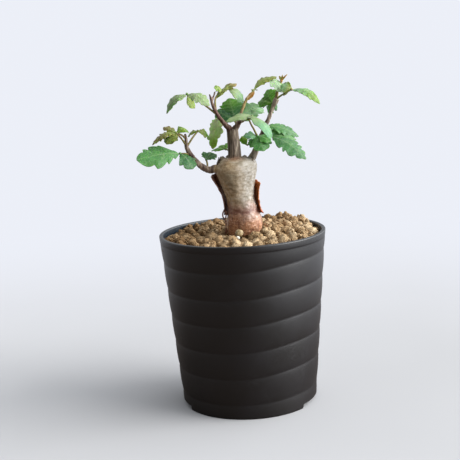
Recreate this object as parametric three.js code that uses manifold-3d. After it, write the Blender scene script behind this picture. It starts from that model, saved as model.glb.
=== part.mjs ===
// Potted fragrant bursera: a young caudex tree in a black ripple-banded pot.
// Millimetres, +Z up. The origin lies on the surface that the pot stands on, under the middle of the
// box that the whole plant fills. Places below are measured from the pot's own axis.
import * as THREE from 'three';
import { mergeVertices } from 'three/addons/utils/BufferGeometryUtils.js';
import Module from 'manifold-3d';

const wasm = await Module();
wasm.setup();

// Where the pot's axis stands in the part's own frame
const POT_X = 3.9;
const POT_Y = 0;

// Clearance between neighbouring pieces, and how near two corners are one
const GAP = 0.35;
const SAME_POINT = 1e-4;

// Pot
const POT_HEIGHT = 94;
const RIM_RADIUS = 45;
const FOOT_RADIUS = 36.8;
const WALL = 1.7;
const LIP_WIDTH = 2.1;
const LIP_DEPTH = 3.4;
const LIP_ROUND = 0.6;
const POT_SIDES = 36;
const BAND_PITCH = 14.4;
const FIRST_GROOVE = 7.5;
const BAND_COUNT = 6;
const BAND_SWELL = 0.5;
const BAND_STEPS = [-0.36, -0.12, 0, 0.12];
const BAND_WAVER = 2.1;
const HIGH_SIDE = THREE.MathUtils.degToRad(-5);
const HIGH_SIDE_EDGE = 0.45;
const HIGH_SIDE_SHARPNESS = 2.6;
const FLOOR_UNDERSIDE = 2.8;
const FLOOR_THICK = 1.8;
const FOOT_WALL = 2;
const NOTCH_HEIGHT = 2.3;
const NOTCH_HALF_ANGLE = THREE.MathUtils.degToRad(35);
const NOTCH_CENTRE = THREE.MathUtils.degToRad(-6);
const NOTCH_FROM = 18;
const NOTCH_TO = 70;
const DRAIN_RADIUS = 2.6;
const DRAIN_RING = 20;
const DRAIN_COUNT = 6;
const DRAIN_SIDES = 10;
const DRILL_LENGTH = 8;

// Soil: the heap and the granules of its relief
const SOIL_LEVEL = 89;
const BODY_TOP = 100;
const RIGHT_BANK = { rise: 1.6, from: -12, to: 24 };
const MOUNDS = [
  { x: 24, y: 24, rise: 3.6, spread: 15 },
  { x: -12, y: 24, rise: 1.8, spread: 15 },
  { x: 1.9, y: -2, rise: 5, spread: 14 },
  { x: -9.5, y: -1, rise: -2.6, spread: 5 },
];
const EDGE_DIP = { drop: 1.6, from: 37, to: 41 };
const GRAIN_PITCH = 6.2;
const GRAIN_JITTER = 0.16;
const GRAIN_RISE = { least: 1.4, most: 4.6 };
const TALL_GRAINS = 1.8;
const GRAIN_CAP = { least: 0.62, most: 0.82 };
const GRAIN_TILT = 0.22;
const GRAIN_DOME = 0.5;
const GRAIN_SEED = 20;
const PRILL_RADIUS = 1.9;
const PRILL_PLACE = [-1.7, -14.2, 95.6];

// Caudex: height, middle across, half width
const CAUDEX_RINGS = [
  { z: 62, x: 2.5, r: 1.6 },
  { z: 72, x: 2.4, r: 4.6 },
  { z: 84, x: 2.2, r: 7.8 },
  { z: 95, x: 1.9, r: 9.2 },
  { z: 99, x: 1.8, r: 9.5 },
  { z: 102.5, x: 1.6, r: 9.0 },
  { z: 106, x: 0.9, r: 7.9 },
  { z: 111, x: 0.3, r: 7.5 },
  { z: 115, x: -0.4, r: 8.0 },
  { z: 119, x: -1.0, r: 8.9 },
  { z: 123.5, x: -1.7, r: 10.2 },
  { z: 128, x: -2.0, r: 11.1 },
  { z: 131, x: -1.5, r: 10.4 },
  { z: 133, x: -1.2, r: 8.2 },
  { z: 134, x: -1.4, r: 4.6 },
];
const SOIL_RING = CAUDEX_RINGS.find((ring) => ring.z === 95);
const CAUDEX_SIDES = 20;
const CAUDEX_END = 0.6;
const FULL_LUMPS_FROM = 8;
const LUMPS = [
  { waves: 3, twist: 0.11, height: 0.35 },
  { waves: 5, twist: -0.23, height: 0.2 },
];
const LUMPS_HEIGHT = LUMPS.reduce((sum, lump) => sum + lump.height, 0);

// Stems and stalks
const FEWEST_RINGS = 3;
const STEM_SIDES = 6;
const TWIG_SIDES = 5;
const TWIG_RADIUS = 1;
const ROUND_END = 0.4;

// Loose bark
const FLAP_ROWS = 7;
const FLAP_COLUMNS = 5;
const FLAP_RAGGEDNESS = 0.35;
const FLAP_CORNER = 2;
const FLAP_CURL_FROM = 1.6;
const LOW_CURL = 0.45;

// Leaves
const BLADE_THICK = 0.7;
const STALK_RADIUS = 0.5;
const STALK_FOOT_RADIUS = 0.6;
const STALK_SIDES = 5;
const TIP_HALF_WIDTH = 0.25;
const BASE_HALF_WIDTH = 0.35;
const KNUCKLE_RADIUS = 0.95;
const BLADE_START = 0.5;
const SHOULDER = 0.1;
const TOOTHED_FROM = 0.12;
const TOOTHED_SHARE = 0.8;
const NOTCH_AT = 0.12;
const POINT_AT = 0.57;
const POINT_LEAN = 0.35;
const OUTLINE_POWER = 0.75;
const RIB_POWER = 0.9;
const RIB_STEP = 0.02;

// Paint for each kind of piece
const PAINT = {
  pot: { color: 0x26242a, roughness: 0.5, metalness: 0 },
  soil: { color: 0xb8986a, roughness: 0.95, metalness: 0 },
  prill: { color: 0xe8dfcb, roughness: 0.4, metalness: 0 },
  caudex: { color: 0xa89c85, roughness: 0.75, metalness: 0 },
  flapDark: { color: 0x6b2c20, roughness: 0.8, metalness: 0 },
  flapBright: { color: 0xa8551e, roughness: 0.8, metalness: 0 },
  bud: { color: 0x8a5a34, roughness: 0.7, metalness: 0 },
  young: { color: 0x7a8244, roughness: 0.6, metalness: 0 },
  pale: { color: 0x8fb382, roughness: 0.6, metalness: 0 },
  green: { color: 0x4f9a52, roughness: 0.55, metalness: 0 },
  deep: { color: 0x3b7a3a, roughness: 0.55, metalness: 0 },
  blueGreen: { color: 0x4c9a70, roughness: 0.55, metalness: 0 },
};

const vector = (place) => new THREE.Vector3(...place);

// A seeded draw between 0 and 1
function drawFrom(seed) {
  let state = seed;
  return () => {
    state = (state * 1664525 + 1013904223) % 4294967296;
    return state / 4294967296;
  };
}

// A closed solid from corner points and triangles, turned so that its faces point out
function solidFrom(corners, triangles) {
  const at = (i) => new THREE.Vector3().fromArray(corners, 3 * i);
  let volume = 0;
  for (let i = 0; i < triangles.length; i += 3) {
    const [a, b, c] = [at(triangles[i]), at(triangles[i + 1]), at(triangles[i + 2])];
    volume += a.dot(b.cross(c));
  }
  const facing = volume < 0 ? triangles.slice().reverse() : triangles;
  return new wasm.Manifold(new wasm.Mesh({
    numProp: 3,
    vertProperties: new Float32Array(corners),
    triVerts: new Uint32Array(facing),
  }));
}

// The same from a three.js geometry, with its doubled corners merged and empty triangles dropped
function solidOf(geometry) {
  geometry.deleteAttribute('normal');
  geometry.deleteAttribute('uv');
  const merged = mergeVertices(geometry, SAME_POINT);
  const index = Array.from(merged.index.array);
  const kept = [];
  for (let i = 0; i < index.length; i += 3) {
    const [a, b, c] = index.slice(i, i + 3);
    if (a !== b && b !== c && c !== a) kept.push(a, b, c);
  }
  return solidFrom(Array.from(merged.attributes.position.array), kept);
}

const fuse = (solids) => solids.reduce((whole, solid) => whole.add(solid));

// The largest closed body of a solid: loose scraps go and sealed hollows are filled
function mainBody(solid) {
  const bodies = solid.decompose();
  return bodies.reduce((best, body) => (body.volume() > best.volume() ? body : best));
}

function meshOf(name, solid, paint) {
  const { vertProperties, triVerts } = solid.getMesh();
  const geometry = new THREE.BufferGeometry();
  geometry.setAttribute('position', new THREE.BufferAttribute(new Float32Array(vertProperties), 3));
  geometry.setIndex(new THREE.BufferAttribute(new Uint32Array(triVerts), 1));
  geometry.computeVertexNormals();
  const mesh = new THREE.Mesh(geometry, new THREE.MeshStandardMaterial(paint));
  mesh.name = name;
  return mesh;
}

// A closed sheet between a front and a back grid of points, split alike on both faces
function sheetBetween(front, back) {
  const rows = front.length;
  const columns = front[0].length;
  const corners = [...front.flat(), ...back.flat()].flatMap((p) => p.toArray());
  const triangles = [];
  const f = (i, j) => i * columns + j;
  const b = (i, j) => (rows + i) * columns + j;
  const quad = (p, q, r, s) => triangles.push(p, q, r, p, r, s);
  for (let i = 0; i < rows - 1; i += 1) {
    for (let j = 0; j < columns - 1; j += 1) {
      if (j < (columns - 1) / 2) {
        quad(f(i, j), f(i, j + 1), f(i + 1, j + 1), f(i + 1, j));
        triangles.push(b(i, j), b(i + 1, j + 1), b(i, j + 1), b(i, j), b(i + 1, j), b(i + 1, j + 1));
      } else {
        quad(f(i, j + 1), f(i + 1, j + 1), f(i + 1, j), f(i, j));
        triangles.push(b(i, j + 1), b(i + 1, j), b(i + 1, j + 1), b(i, j + 1), b(i, j), b(i + 1, j));
      }
    }
    quad(f(i, 0), f(i + 1, 0), b(i + 1, 0), b(i, 0));
    const last = columns - 1;
    quad(f(i + 1, last), f(i, last), b(i, last), b(i + 1, last));
  }
  for (let j = 0; j < columns - 1; j += 1) {
    quad(f(0, j + 1), f(0, j), b(0, j), b(0, j + 1));
    const end = rows - 1;
    quad(f(end, j), f(end, j + 1), b(end, j + 1), b(end, j));
  }
  return solidFrom(corners, triangles);
}

// A closed tapering limb along a smooth curve through its points
function limb(points, radii, sides, grow = 0) {
  const curve = new THREE.CatmullRomCurve3(points.map(vector));
  const rings = Math.max(points.length - 1, FEWEST_RINGS);
  const corners = [];
  const triangles = [];
  let side = null;
  for (let i = 0; i <= rings; i += 1) {
    const t = i / rings;
    const centre = curve.getPoint(t);
    const along = curve.getTangent(t);
    side ??= new THREE.Vector3(along.y, along.z, along.x).cross(along);
    side.addScaledVector(along, -side.dot(along)).normalize();
    const other = new THREE.Vector3().crossVectors(along, side);
    const place = t * (radii.length - 1);
    const low = Math.min(Math.floor(place), radii.length - 2);
    const radius = THREE.MathUtils.lerp(radii[low], radii[low + 1], place - low) + grow;
    for (let k = 0; k < sides; k += 1) {
      const turn = (2 * Math.PI * k) / sides;
      corners.push(...centre.clone()
        .addScaledVector(side, radius * Math.cos(turn))
        .addScaledVector(other, radius * Math.sin(turn)).toArray());
    }
    if (i === 0) continue;
    for (let k = 0; k < sides; k += 1) {
      const next = (k + 1) % sides;
      const [p, q] = [(i - 1) * sides + k, (i - 1) * sides + next];
      const [r, s] = [i * sides + next, i * sides + k];
      triangles.push(p, q, r, p, r, s);
    }
  }
  const ends = [
    { t: 0, way: -1, start: 0, radius: radii[0] },
    { t: 1, way: 1, start: rings * sides, radius: radii[radii.length - 1] },
  ];
  for (const { t, way, start, radius } of ends) {
    const tip = corners.length / 3;
    const push = way * (ROUND_END * radius + grow);
    corners.push(...curve.getPoint(t).addScaledVector(curve.getTangent(t), push).toArray());
    for (let k = 0; k < sides; k += 1) {
      const [p, q] = [start + k, start + ((k + 1) % sides)];
      triangles.push(...(way > 0 ? [p, q, tip] : [q, p, tip]));
    }
  }
  return solidFrom(corners, triangles);
}

// Pot: the wall's radius without its bands, straight from foot to rim
const wallRadius = (z) => THREE.MathUtils.lerp(FOOT_RADIUS, RIM_RADIUS, z / POT_HEIGHT);

// How far a band swells out of the wall at a height: nothing in a groove, most between two
function bandSwell(z) {
  const phase = (z - FIRST_GROOVE) / BAND_PITCH;
  return BAND_SWELL * (Math.sqrt(Math.abs(Math.sin(Math.PI * phase))) - 1);
}

// The bands run a little higher on the right than on the left
function bandLift(turn, z) {
  const fade = THREE.MathUtils.smoothstep(z, 0, BAND_PITCH)
    * (1 - THREE.MathUtils.smoothstep(z, POT_HEIGHT - BAND_PITCH, POT_HEIGHT - LIP_DEPTH));
  const towardsHighSide = Math.cos(turn - HIGH_SIDE) - HIGH_SIDE_EDGE;
  return fade * BAND_WAVER * (1 + Math.tanh(HIGH_SIDE_SHARPNESS * towardsHighSide));
}

function potProfile() {
  const points = [];
  const foot = FOOT_RADIUS - FOOT_WALL;
  const floorTop = FLOOR_UNDERSIDE + FLOOR_THICK;
  const lipBottom = POT_HEIGHT - LIP_DEPTH;
  points.push([0, FLOOR_UNDERSIDE], [foot, FLOOR_UNDERSIDE], [foot, 0], [wallRadius(0), 0]);
  for (let k = 0; k < BAND_COUNT; k += 1) {
    const groove = FIRST_GROOVE + k * BAND_PITCH;
    for (const step of BAND_STEPS) {
      const z = groove + step * BAND_PITCH;
      points.push([wallRadius(z) + bandSwell(z), z]);
    }
  }
  points.push([wallRadius(lipBottom) - BAND_SWELL, lipBottom]);
  points.push([RIM_RADIUS, POT_HEIGHT - LIP_ROUND]);
  points.push([RIM_RADIUS - LIP_ROUND, POT_HEIGHT]);
  points.push([RIM_RADIUS - LIP_WIDTH + LIP_ROUND, POT_HEIGHT]);
  points.push([RIM_RADIUS - LIP_WIDTH, POT_HEIGHT - LIP_ROUND]);
  points.push([innerRadius(lipBottom), lipBottom]);
  points.push([innerRadius(floorTop), floorTop], [0, floorTop]);
  return points.map(([radius, z]) => new THREE.Vector2(radius, z));
}

const innerRadius = (z) => wallRadius(z) - BAND_SWELL - WALL;

function makePot() {
  const geometry = new THREE.LatheGeometry(potProfile(), POT_SIDES);
  geometry.rotateX(Math.PI / 2);
  const position = geometry.attributes.position;
  for (let i = 0; i < position.count; i += 1) {
    const [x, y, z] = [position.getX(i), position.getY(i), position.getZ(i)];
    const radius = Math.hypot(x, y);
    if (radius < innerRadius(z) + WALL / 2) continue;
    const lift = bandLift(Math.atan2(y, x), z);
    const widen = (wallRadius(z + lift) - wallRadius(z)) / radius;
    position.setXYZ(i, x * (1 + widen), y * (1 + widen), z + lift);
  }
  let pot = solidOf(geometry);
  for (const side of [0, Math.PI]) pot = pot.subtract(notchCutter(NOTCH_CENTRE + side));
  for (let k = 0; k < DRAIN_COUNT; k += 1) {
    const turn = (2 * Math.PI * (k + 0.5)) / DRAIN_COUNT;
    const drill = new THREE.CylinderGeometry(DRAIN_RADIUS, DRAIN_RADIUS, DRILL_LENGTH, DRAIN_SIDES);
    drill.rotateX(Math.PI / 2);
    drill.translate(DRAIN_RING * Math.cos(turn), DRAIN_RING * Math.sin(turn), FLOOR_UNDERSIDE);
    pot = pot.subtract(solidOf(drill));
  }
  return pot;
}

// A wedge that cuts one wide notch in the foot
function notchCutter(centre) {
  const wedge = new THREE.Shape();
  wedge.moveTo(NOTCH_FROM * Math.cos(centre), NOTCH_FROM * Math.sin(centre));
  for (const side of [-1, 0, 1]) {
    const turn = centre + side * NOTCH_HALF_ANGLE;
    wedge.lineTo(NOTCH_TO * Math.cos(turn), NOTCH_TO * Math.sin(turn));
  }
  const cutter = new THREE.ExtrudeGeometry(wedge, { depth: 2 * NOTCH_HEIGHT, bevelEnabled: false });
  cutter.translate(0, 0, -NOTCH_HEIGHT);
  return solidOf(cutter);
}

// Soil: the height of the heap, higher on the right, behind and round the trunk
function heapHeight(x, y) {
  const bank = RIGHT_BANK.rise * THREE.MathUtils.smoothstep(x, RIGHT_BANK.from, RIGHT_BANK.to);
  const dip = EDGE_DIP.drop * THREE.MathUtils.smoothstep(Math.hypot(x, y), EDGE_DIP.from, EDGE_DIP.to);
  const mounds = MOUNDS.map((mound) => {
    const distance = Math.hypot(x - mound.x, y - mound.y);
    return mound.rise * Math.exp(-((distance / mound.spread) ** 2));
  });
  return mounds.reduce((sum, mound) => sum + mound, SOIL_LEVEL + bank - dip);
}

// Closes a surface into a slab: a flat copy of it below and a wall along its open edges
function slabUnder(corners, triangles, bottom) {
  const count = corners.length / 3;
  const open = new Map();
  const closed = [...triangles];
  for (let i = 0; i < triangles.length; i += 3) {
    const face = triangles.slice(i, i + 3);
    closed.push(...face.map((p) => p + count).reverse());
    face.forEach((p, n) => {
      const q = face[(n + 1) % 3];
      if (!open.delete(`${q},${p}`)) open.set(`${p},${q}`, [p, q]);
    });
  }
  for (const [p, q] of open.values()) closed.push(q, p, p + count, q, p + count, q + count);
  const below = corners.map((value, i) => (i % 3 === 2 ? bottom : value));
  return solidFrom([...corners, ...below], closed);
}

// The granules as relief: on a lattice of triangles every third point is the middle of a granule,
// and the points between are the hollows that it shares with its neighbours
function granuleRelief() {
  const draw = drawFrom(GRAIN_SEED);
  const between = (range, power = 1) => THREE.MathUtils.lerp(range.least, range.most, draw() ** power);
  const step = GRAIN_PITCH / Math.sqrt(3);
  const reach = Math.ceil(RIM_RADIUS / (step * Math.sin(Math.PI / 3)));
  const points = new Map();
  for (let row = -reach; row <= reach; row += 1) {
    for (let column = -reach; column <= reach; column += 1) {
      const jitter = () => GRAIN_JITTER * step * (2 * draw() - 1);
      const x = (column + Math.abs(row % 2) / 2) * step + jitter();
      const y = row * step * Math.sin(Math.PI / 3) + jitter();
      const across = column - Math.floor(row / 2);
      points.set(`${across},${row}`, { x, y, middle: (((across - row) % 3) + 3) % 3 === 0 });
    }
  }
  const corners = [];
  const triangles = [];
  const addPoint = (x, y, z) => corners.push(x, y, z) / 3 - 1;
  for (const point of points.values()) {
    point.rise = between(GRAIN_RISE, TALL_GRAINS);
    point.cap = between(GRAIN_CAP);
    point.slope = [GRAIN_TILT * (2 * draw() - 1), GRAIN_TILT * (2 * draw() - 1)];
    const lift = point.middle ? point.rise + GRAIN_DOME : 0;
    point.index = addPoint(point.x, point.y, heapHeight(point.x, point.y) + lift);
    point.shoulders = new Map();
  }
  const shoulder = (middle, hollow) => {
    if (!middle.shoulders.has(hollow)) {
      const x = THREE.MathUtils.lerp(middle.x, hollow.x, middle.cap);
      const y = THREE.MathUtils.lerp(middle.y, hollow.y, middle.cap);
      const tilt = middle.slope[0] * (x - middle.x) + middle.slope[1] * (y - middle.y);
      const z = heapHeight(middle.x, middle.y) + middle.rise + tilt;
      middle.shoulders.set(hollow, addPoint(x, y, z));
    }
    return middle.shoulders.get(hollow);
  };
  const addFace = (...face) => {
    if (face.some((point) => point === undefined)) return;
    while (!face[0].middle) face.push(face.shift());
    const [middle, p, q] = face;
    const [ps, qs] = [shoulder(middle, p), shoulder(middle, q)];
    triangles.push(middle.index, ps, qs, ps, p.index, q.index, ps, q.index, qs);
  };
  for (const key of points.keys()) {
    const [across, row] = key.split(',').map(Number);
    const at = (i, j) => points.get(`${across + i},${row + j}`);
    addFace(at(0, 0), at(1, 0), at(0, 1));
    addFace(at(1, 0), at(1, 1), at(0, 1));
  }
  return slabUnder(corners, triangles, 0);
}

// The filled body, as wide as the pot inside it and taller than the heap
function filledBody() {
  const inset = GAP / Math.cos(Math.PI / POT_SIDES);
  const bottom = FLOOR_UNDERSIDE + FLOOR_THICK + GAP;
  const profile = [
    [0, bottom],
    [innerRadius(bottom) - inset, bottom],
    [innerRadius(BODY_TOP) - inset, BODY_TOP],
    [0, BODY_TOP],
  ];
  const geometry = new THREE.LatheGeometry(profile.map((p) => new THREE.Vector2(...p)), POT_SIDES);
  geometry.rotateX(Math.PI / 2);
  return solidOf(geometry);
}

function makeSoil() {
  const heap = filledBody().intersect(granuleRelief());
  return mainBody(heap.subtract(caudexBody(GAP)).subtract(prill(GAP)));
}

function prill(grow = 0) {
  const bead = new THREE.IcosahedronGeometry(PRILL_RADIUS + grow, 1);
  bead.translate(...PRILL_PLACE);
  return solidOf(bead);
}

// Caudex: the swollen trunk and its root, lumpy by a formula
function caudexBody(grow = 0) {
  const corners = [];
  const triangles = [];
  const rings = CAUDEX_RINGS;
  for (const { z, x, r } of rings) {
    for (let k = 0; k < CAUDEX_SIDES; k += 1) {
      const turn = (2 * Math.PI * k) / CAUDEX_SIDES;
      const lumps = LUMPS.map(({ waves, twist, height }) => height * Math.sin(waves * turn + twist * z));
      const lift = lumps.reduce((sum, lump) => sum + lump) * Math.min(1, r / FULL_LUMPS_FROM);
      const radius = r + lift + grow;
      corners.push(x + radius * Math.cos(turn), radius * Math.sin(turn), z);
    }
  }
  for (let n = 0; n < rings.length - 1; n += 1) {
    for (let k = 0; k < CAUDEX_SIDES; k += 1) {
      const next = (k + 1) % CAUDEX_SIDES;
      const [p, q] = [n * CAUDEX_SIDES + k, n * CAUDEX_SIDES + next];
      triangles.push(p, q, q + CAUDEX_SIDES, p, q + CAUDEX_SIDES, p + CAUDEX_SIDES);
    }
  }
  for (const [ring, way] of [[0, -1], [rings.length - 1, 1]]) {
    const tip = corners.length / 3;
    corners.push(rings[ring].x, 0, rings[ring].z + way * (CAUDEX_END + grow));
    for (let k = 0; k < CAUDEX_SIDES; k += 1) {
      const p = ring * CAUDEX_SIDES + k;
      const q = ring * CAUDEX_SIDES + ((k + 1) % CAUDEX_SIDES);
      triangles.push(...(way > 0 ? [p, q, tip] : [q, p, tip]));
    }
  }
  return solidFrom(corners, triangles);
}

// Stems and branches: the points that each runs through and its radius at those points
const LIMBS = [
  {
    through: [[-3, 0.4, 131], [-3.4, 0.5, 141], [-3.9, 0, 148.5], [-5.2, -1, 151.2]],
    radii: [2.6, 2.0, 1.8, 1.3],
  },
  {
    through: [[-0.4, 0.2, 131], [-0.8, 0.3, 141], [-1.1, 0, 148.5], [0.6, -0.2, 151]],
    radii: [2.3, 2.0, 1.8, 1.3],
  },
  { through: [[-1.8, -1.3, 131], [-2.2, -1.1, 141], [-2.5, -1, 148.8]], radii: [2.3, 1.8, 1.5] },
  { through: [[-1.8, 2, 131], [-2.2, 1.9, 141], [-2.4, 1, 149]], radii: [2.6, 2.0, 1.4] },
  {
    through: [[-4.4, -0.6, 149.8], [-7.5, -2.4, 153.6], [-10, -4, 157.6], [-11.9, -5, 161.9],
      [-12.9, -5, 165.8], [-13.5, -5, 168.4]],
    radii: [1.4, 1.15, 1.0, 0.85, 0.65, 0.45],
  },
  { through: [[-12.5, -5, 164.6], [-11.6, -4, 167], [-10.6, -3, 169.3]], radii: [0.65, 0.5, 0.4] },
  {
    through: [[-0.4, -0.2, 149.8], [1.4, -0.8, 152.7], [4.2, -2.2, 154], [7.2, -4, 154.5]],
    radii: [1.5, 1.3, 0.9, 0.6],
  },
  {
    through: [[0.4, -0.4, 151.2], [1.5, 0.6, 154.2], [2.7, 1.8, 157.3], [4.4, 3.2, 161.3],
      [6.4, 4.7, 164.9], [8.8, 5.9, 166.8]],
    radii: [1.2, 1.05, 0.95, 0.95, 0.85, 0.6],
  },
  {
    through: [[4.6, 1.6, 129], [7.2, 3, 132.8], [9.9, 4, 137.4], [13.3, 6, 144.6], [17.3, 8, 153.1],
      [20.1, 9, 159.1], [22.1, 9, 163.2]],
    radii: [2.4, 1.9, 1.6, 1.3, 1.1, 1.1, 1.4],
  },
  {
    through: [[22, 9, 162.6], [22.7, 9, 167.2], [24.2, 9, 170], [25.2, 9, 172.2]],
    radii: [1.1, 0.8, 0.7, 0.55],
  },
  {
    through: [[-7.5, 0, 127.6], [-12.7, -2, 128.6], [-15.6, -3, 128.3], [-19.6, -5, 130.4],
      [-23.2, -7, 134.6], [-26, -8, 138.9], [-27.2, -8, 142.2], [-27.1, -8, 145.9], [-27.5, -8, 148.6]],
    radii: [2.7, 2.2, 1.9, 1.6, 1.4, 1.3, 1.0, 0.8, 0.5],
  },
  { through: [[-7.5, 2.6, 131], [-9.2, 3, 134]], radii: [2.4, 1.3] },
  { through: [[-4.4, 6.4, 131], [-5.4, 7.2, 134.2]], radii: [2.2, 1.4] },
  { through: [[5.6, -2.4, 130.6], [6.6, -3, 133]], radii: [1.9, 1.1] },
  { through: [[3, 6.2, 131], [3.6, 7, 133.6]], radii: [2, 1.3] },
];

function woodySolid(grow = 0) {
  const sidesFor = (radius) => (radius > TWIG_RADIUS ? STEM_SIDES : TWIG_SIDES);
  const limbs = LIMBS.map(({ through, radii }) => limb(through, radii, sidesFor(radii[0]), grow));
  return fuse([caudexBody(grow), ...limbs]);
}

// A strip of loose bark that follows the trunk, tight at one side edge and rolled away at the other
function barkFlap({ fixed, free, bottom, top, lift, seed }) {
  const front = [];
  const back = [];
  const draw = drawFrom(seed);
  for (let i = 0; i < FLAP_ROWS; i += 1) {
    const upward = i / (FLAP_ROWS - 1);
    const reach = 1 - FLAP_RAGGEDNESS * draw();
    const curl = lift * reach * THREE.MathUtils.lerp(LOW_CURL, 1, upward ** FLAP_CURL_FROM);
    const frontRow = [];
    const backRow = [];
    for (let j = 0; j < FLAP_COLUMNS; j += 1) {
      const across = j / (FLAP_COLUMNS - 1);
      const turn = THREE.MathUtils.degToRad(THREE.MathUtils.lerp(fixed, free, across * reach));
      const trim = FLAP_CORNER * across * (upward === 0) - FLAP_CORNER * across * (upward === 1);
      const z = THREE.MathUtils.lerp(bottom, top, upward) + trim;
      const trunk = trunkAt(z);
      const inner = trunk.r + LUMPS_HEIGHT + GAP + curl * across ** FLAP_CURL_FROM;
      const way = new THREE.Vector3(Math.cos(turn), Math.sin(turn), 0);
      const centre = new THREE.Vector3(trunk.x, 0, z);
      backRow.push(centre.clone().addScaledVector(way, inner));
      frontRow.push(centre.clone().addScaledVector(way, inner + BLADE_THICK));
    }
    front.push(frontRow);
    back.push(backRow);
  }
  return sheetBetween(front, back);
}

// The trunk's middle and radius at a height
function trunkAt(z) {
  const above = Math.max(1, CAUDEX_RINGS.findIndex((ring) => ring.z >= z));
  const [low, high] = [CAUDEX_RINGS[above - 1], CAUDEX_RINGS[above]];
  const share = (z - low.z) / (high.z - low.z);
  return { x: THREE.MathUtils.lerp(low.x, high.x, share), r: THREE.MathUtils.lerp(low.r, high.r, share) };
}

// A toothed leaflet from its base to its tip. face is the way its upper side looks, rise how far the
// middle of its rib stands above the straight line, and droop how far its edges hang below the rib.
function leaflet({ from, to, width, face, rise = 1, teeth = 2, bite = 0.28, droop = 0.18, fullest = 0.85 }) {
  const start = vector(from);
  const chord = vector(to).sub(start);
  const length = chord.length();
  const ahead = chord.clone().normalize();
  const up = vector(face);
  up.addScaledVector(ahead, -up.dot(ahead)).normalize();
  const across = new THREE.Vector3().crossVectors(ahead, up);
  const fullness = (t) => Math.sin(Math.PI * t ** fullest) ** OUTLINE_POWER;
  const stations = [
    { t: 0, half: BASE_HALF_WIDTH, forward: 0 },
    { t: SHOULDER, half: Math.max(BASE_HALF_WIDTH, (width / 2) * fullness(SHOULDER)), forward: 0 },
  ];
  const step = TOOTHED_SHARE / teeth;
  for (let k = 0; k < teeth; k += 1) {
    const notch = TOOTHED_FROM + (k + NOTCH_AT) * step;
    const point = TOOTHED_FROM + (k + POINT_AT) * step;
    if (k > 0) stations.push({ t: notch, half: (width / 2) * fullness(notch) * (1 - bite), forward: 0 });
    stations.push({ t: point, half: (width / 2) * fullness(point), forward: POINT_LEAN * step });
  }
  stations.push({ t: 1, half: TIP_HALF_WIDTH, forward: 0 });
  const rib = (t) => start.clone()
    .addScaledVector(chord, t)
    .addScaledVector(up, rise * Math.sin(Math.PI * t ** RIB_POWER));
  const front = [];
  const back = [];
  for (const { t, half, forward } of stations) {
    const tangent = rib(Math.min(1, t + RIB_STEP)).sub(rib(Math.max(0, t - RIB_STEP))).normalize();
    const normal = up.clone().addScaledVector(tangent, -up.dot(tangent)).normalize();
    const row = [-1, 0, 1].map((side) => rib(t)
      .addScaledVector(across, side * half)
      .addScaledVector(tangent, Math.abs(side) * forward * length)
      .addScaledVector(normal, -Math.abs(side) * droop * half));
    front.push(row.map((p) => p.clone().addScaledVector(normal, BLADE_THICK / 2)));
    back.push(row.map((p) => p.clone().addScaledVector(normal, -BLADE_THICK / 2)));
  }
  return sheetBetween(front, back);
}

// A leaf: its stalks, a knuckle where the first of them ends, and leaflets that start in the knuckle
// unless they say where they start on the stalk
function compoundLeaf({ stalks, leaflets }) {
  const node = stalks[0][stalks[0].length - 1];
  const knuckle = new THREE.IcosahedronGeometry(KNUCKLE_RADIUS, 0);
  knuckle.translate(...node);
  const stalkSolids = stalks.map((points) => limb(points, [STALK_FOOT_RADIUS, STALK_RADIUS], STALK_SIDES));
  const blades = leaflets.map((blade) => {
    const start = vector(blade.from ?? node);
    const ahead = vector(blade.to).sub(start).normalize();
    if (!blade.from) start.addScaledVector(ahead, BLADE_START);
    return leaflet({ ...blade, from: start.toArray() });
  });
  return fuse([solidOf(knuckle), ...stalkSolids, ...blades]);
}

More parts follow.
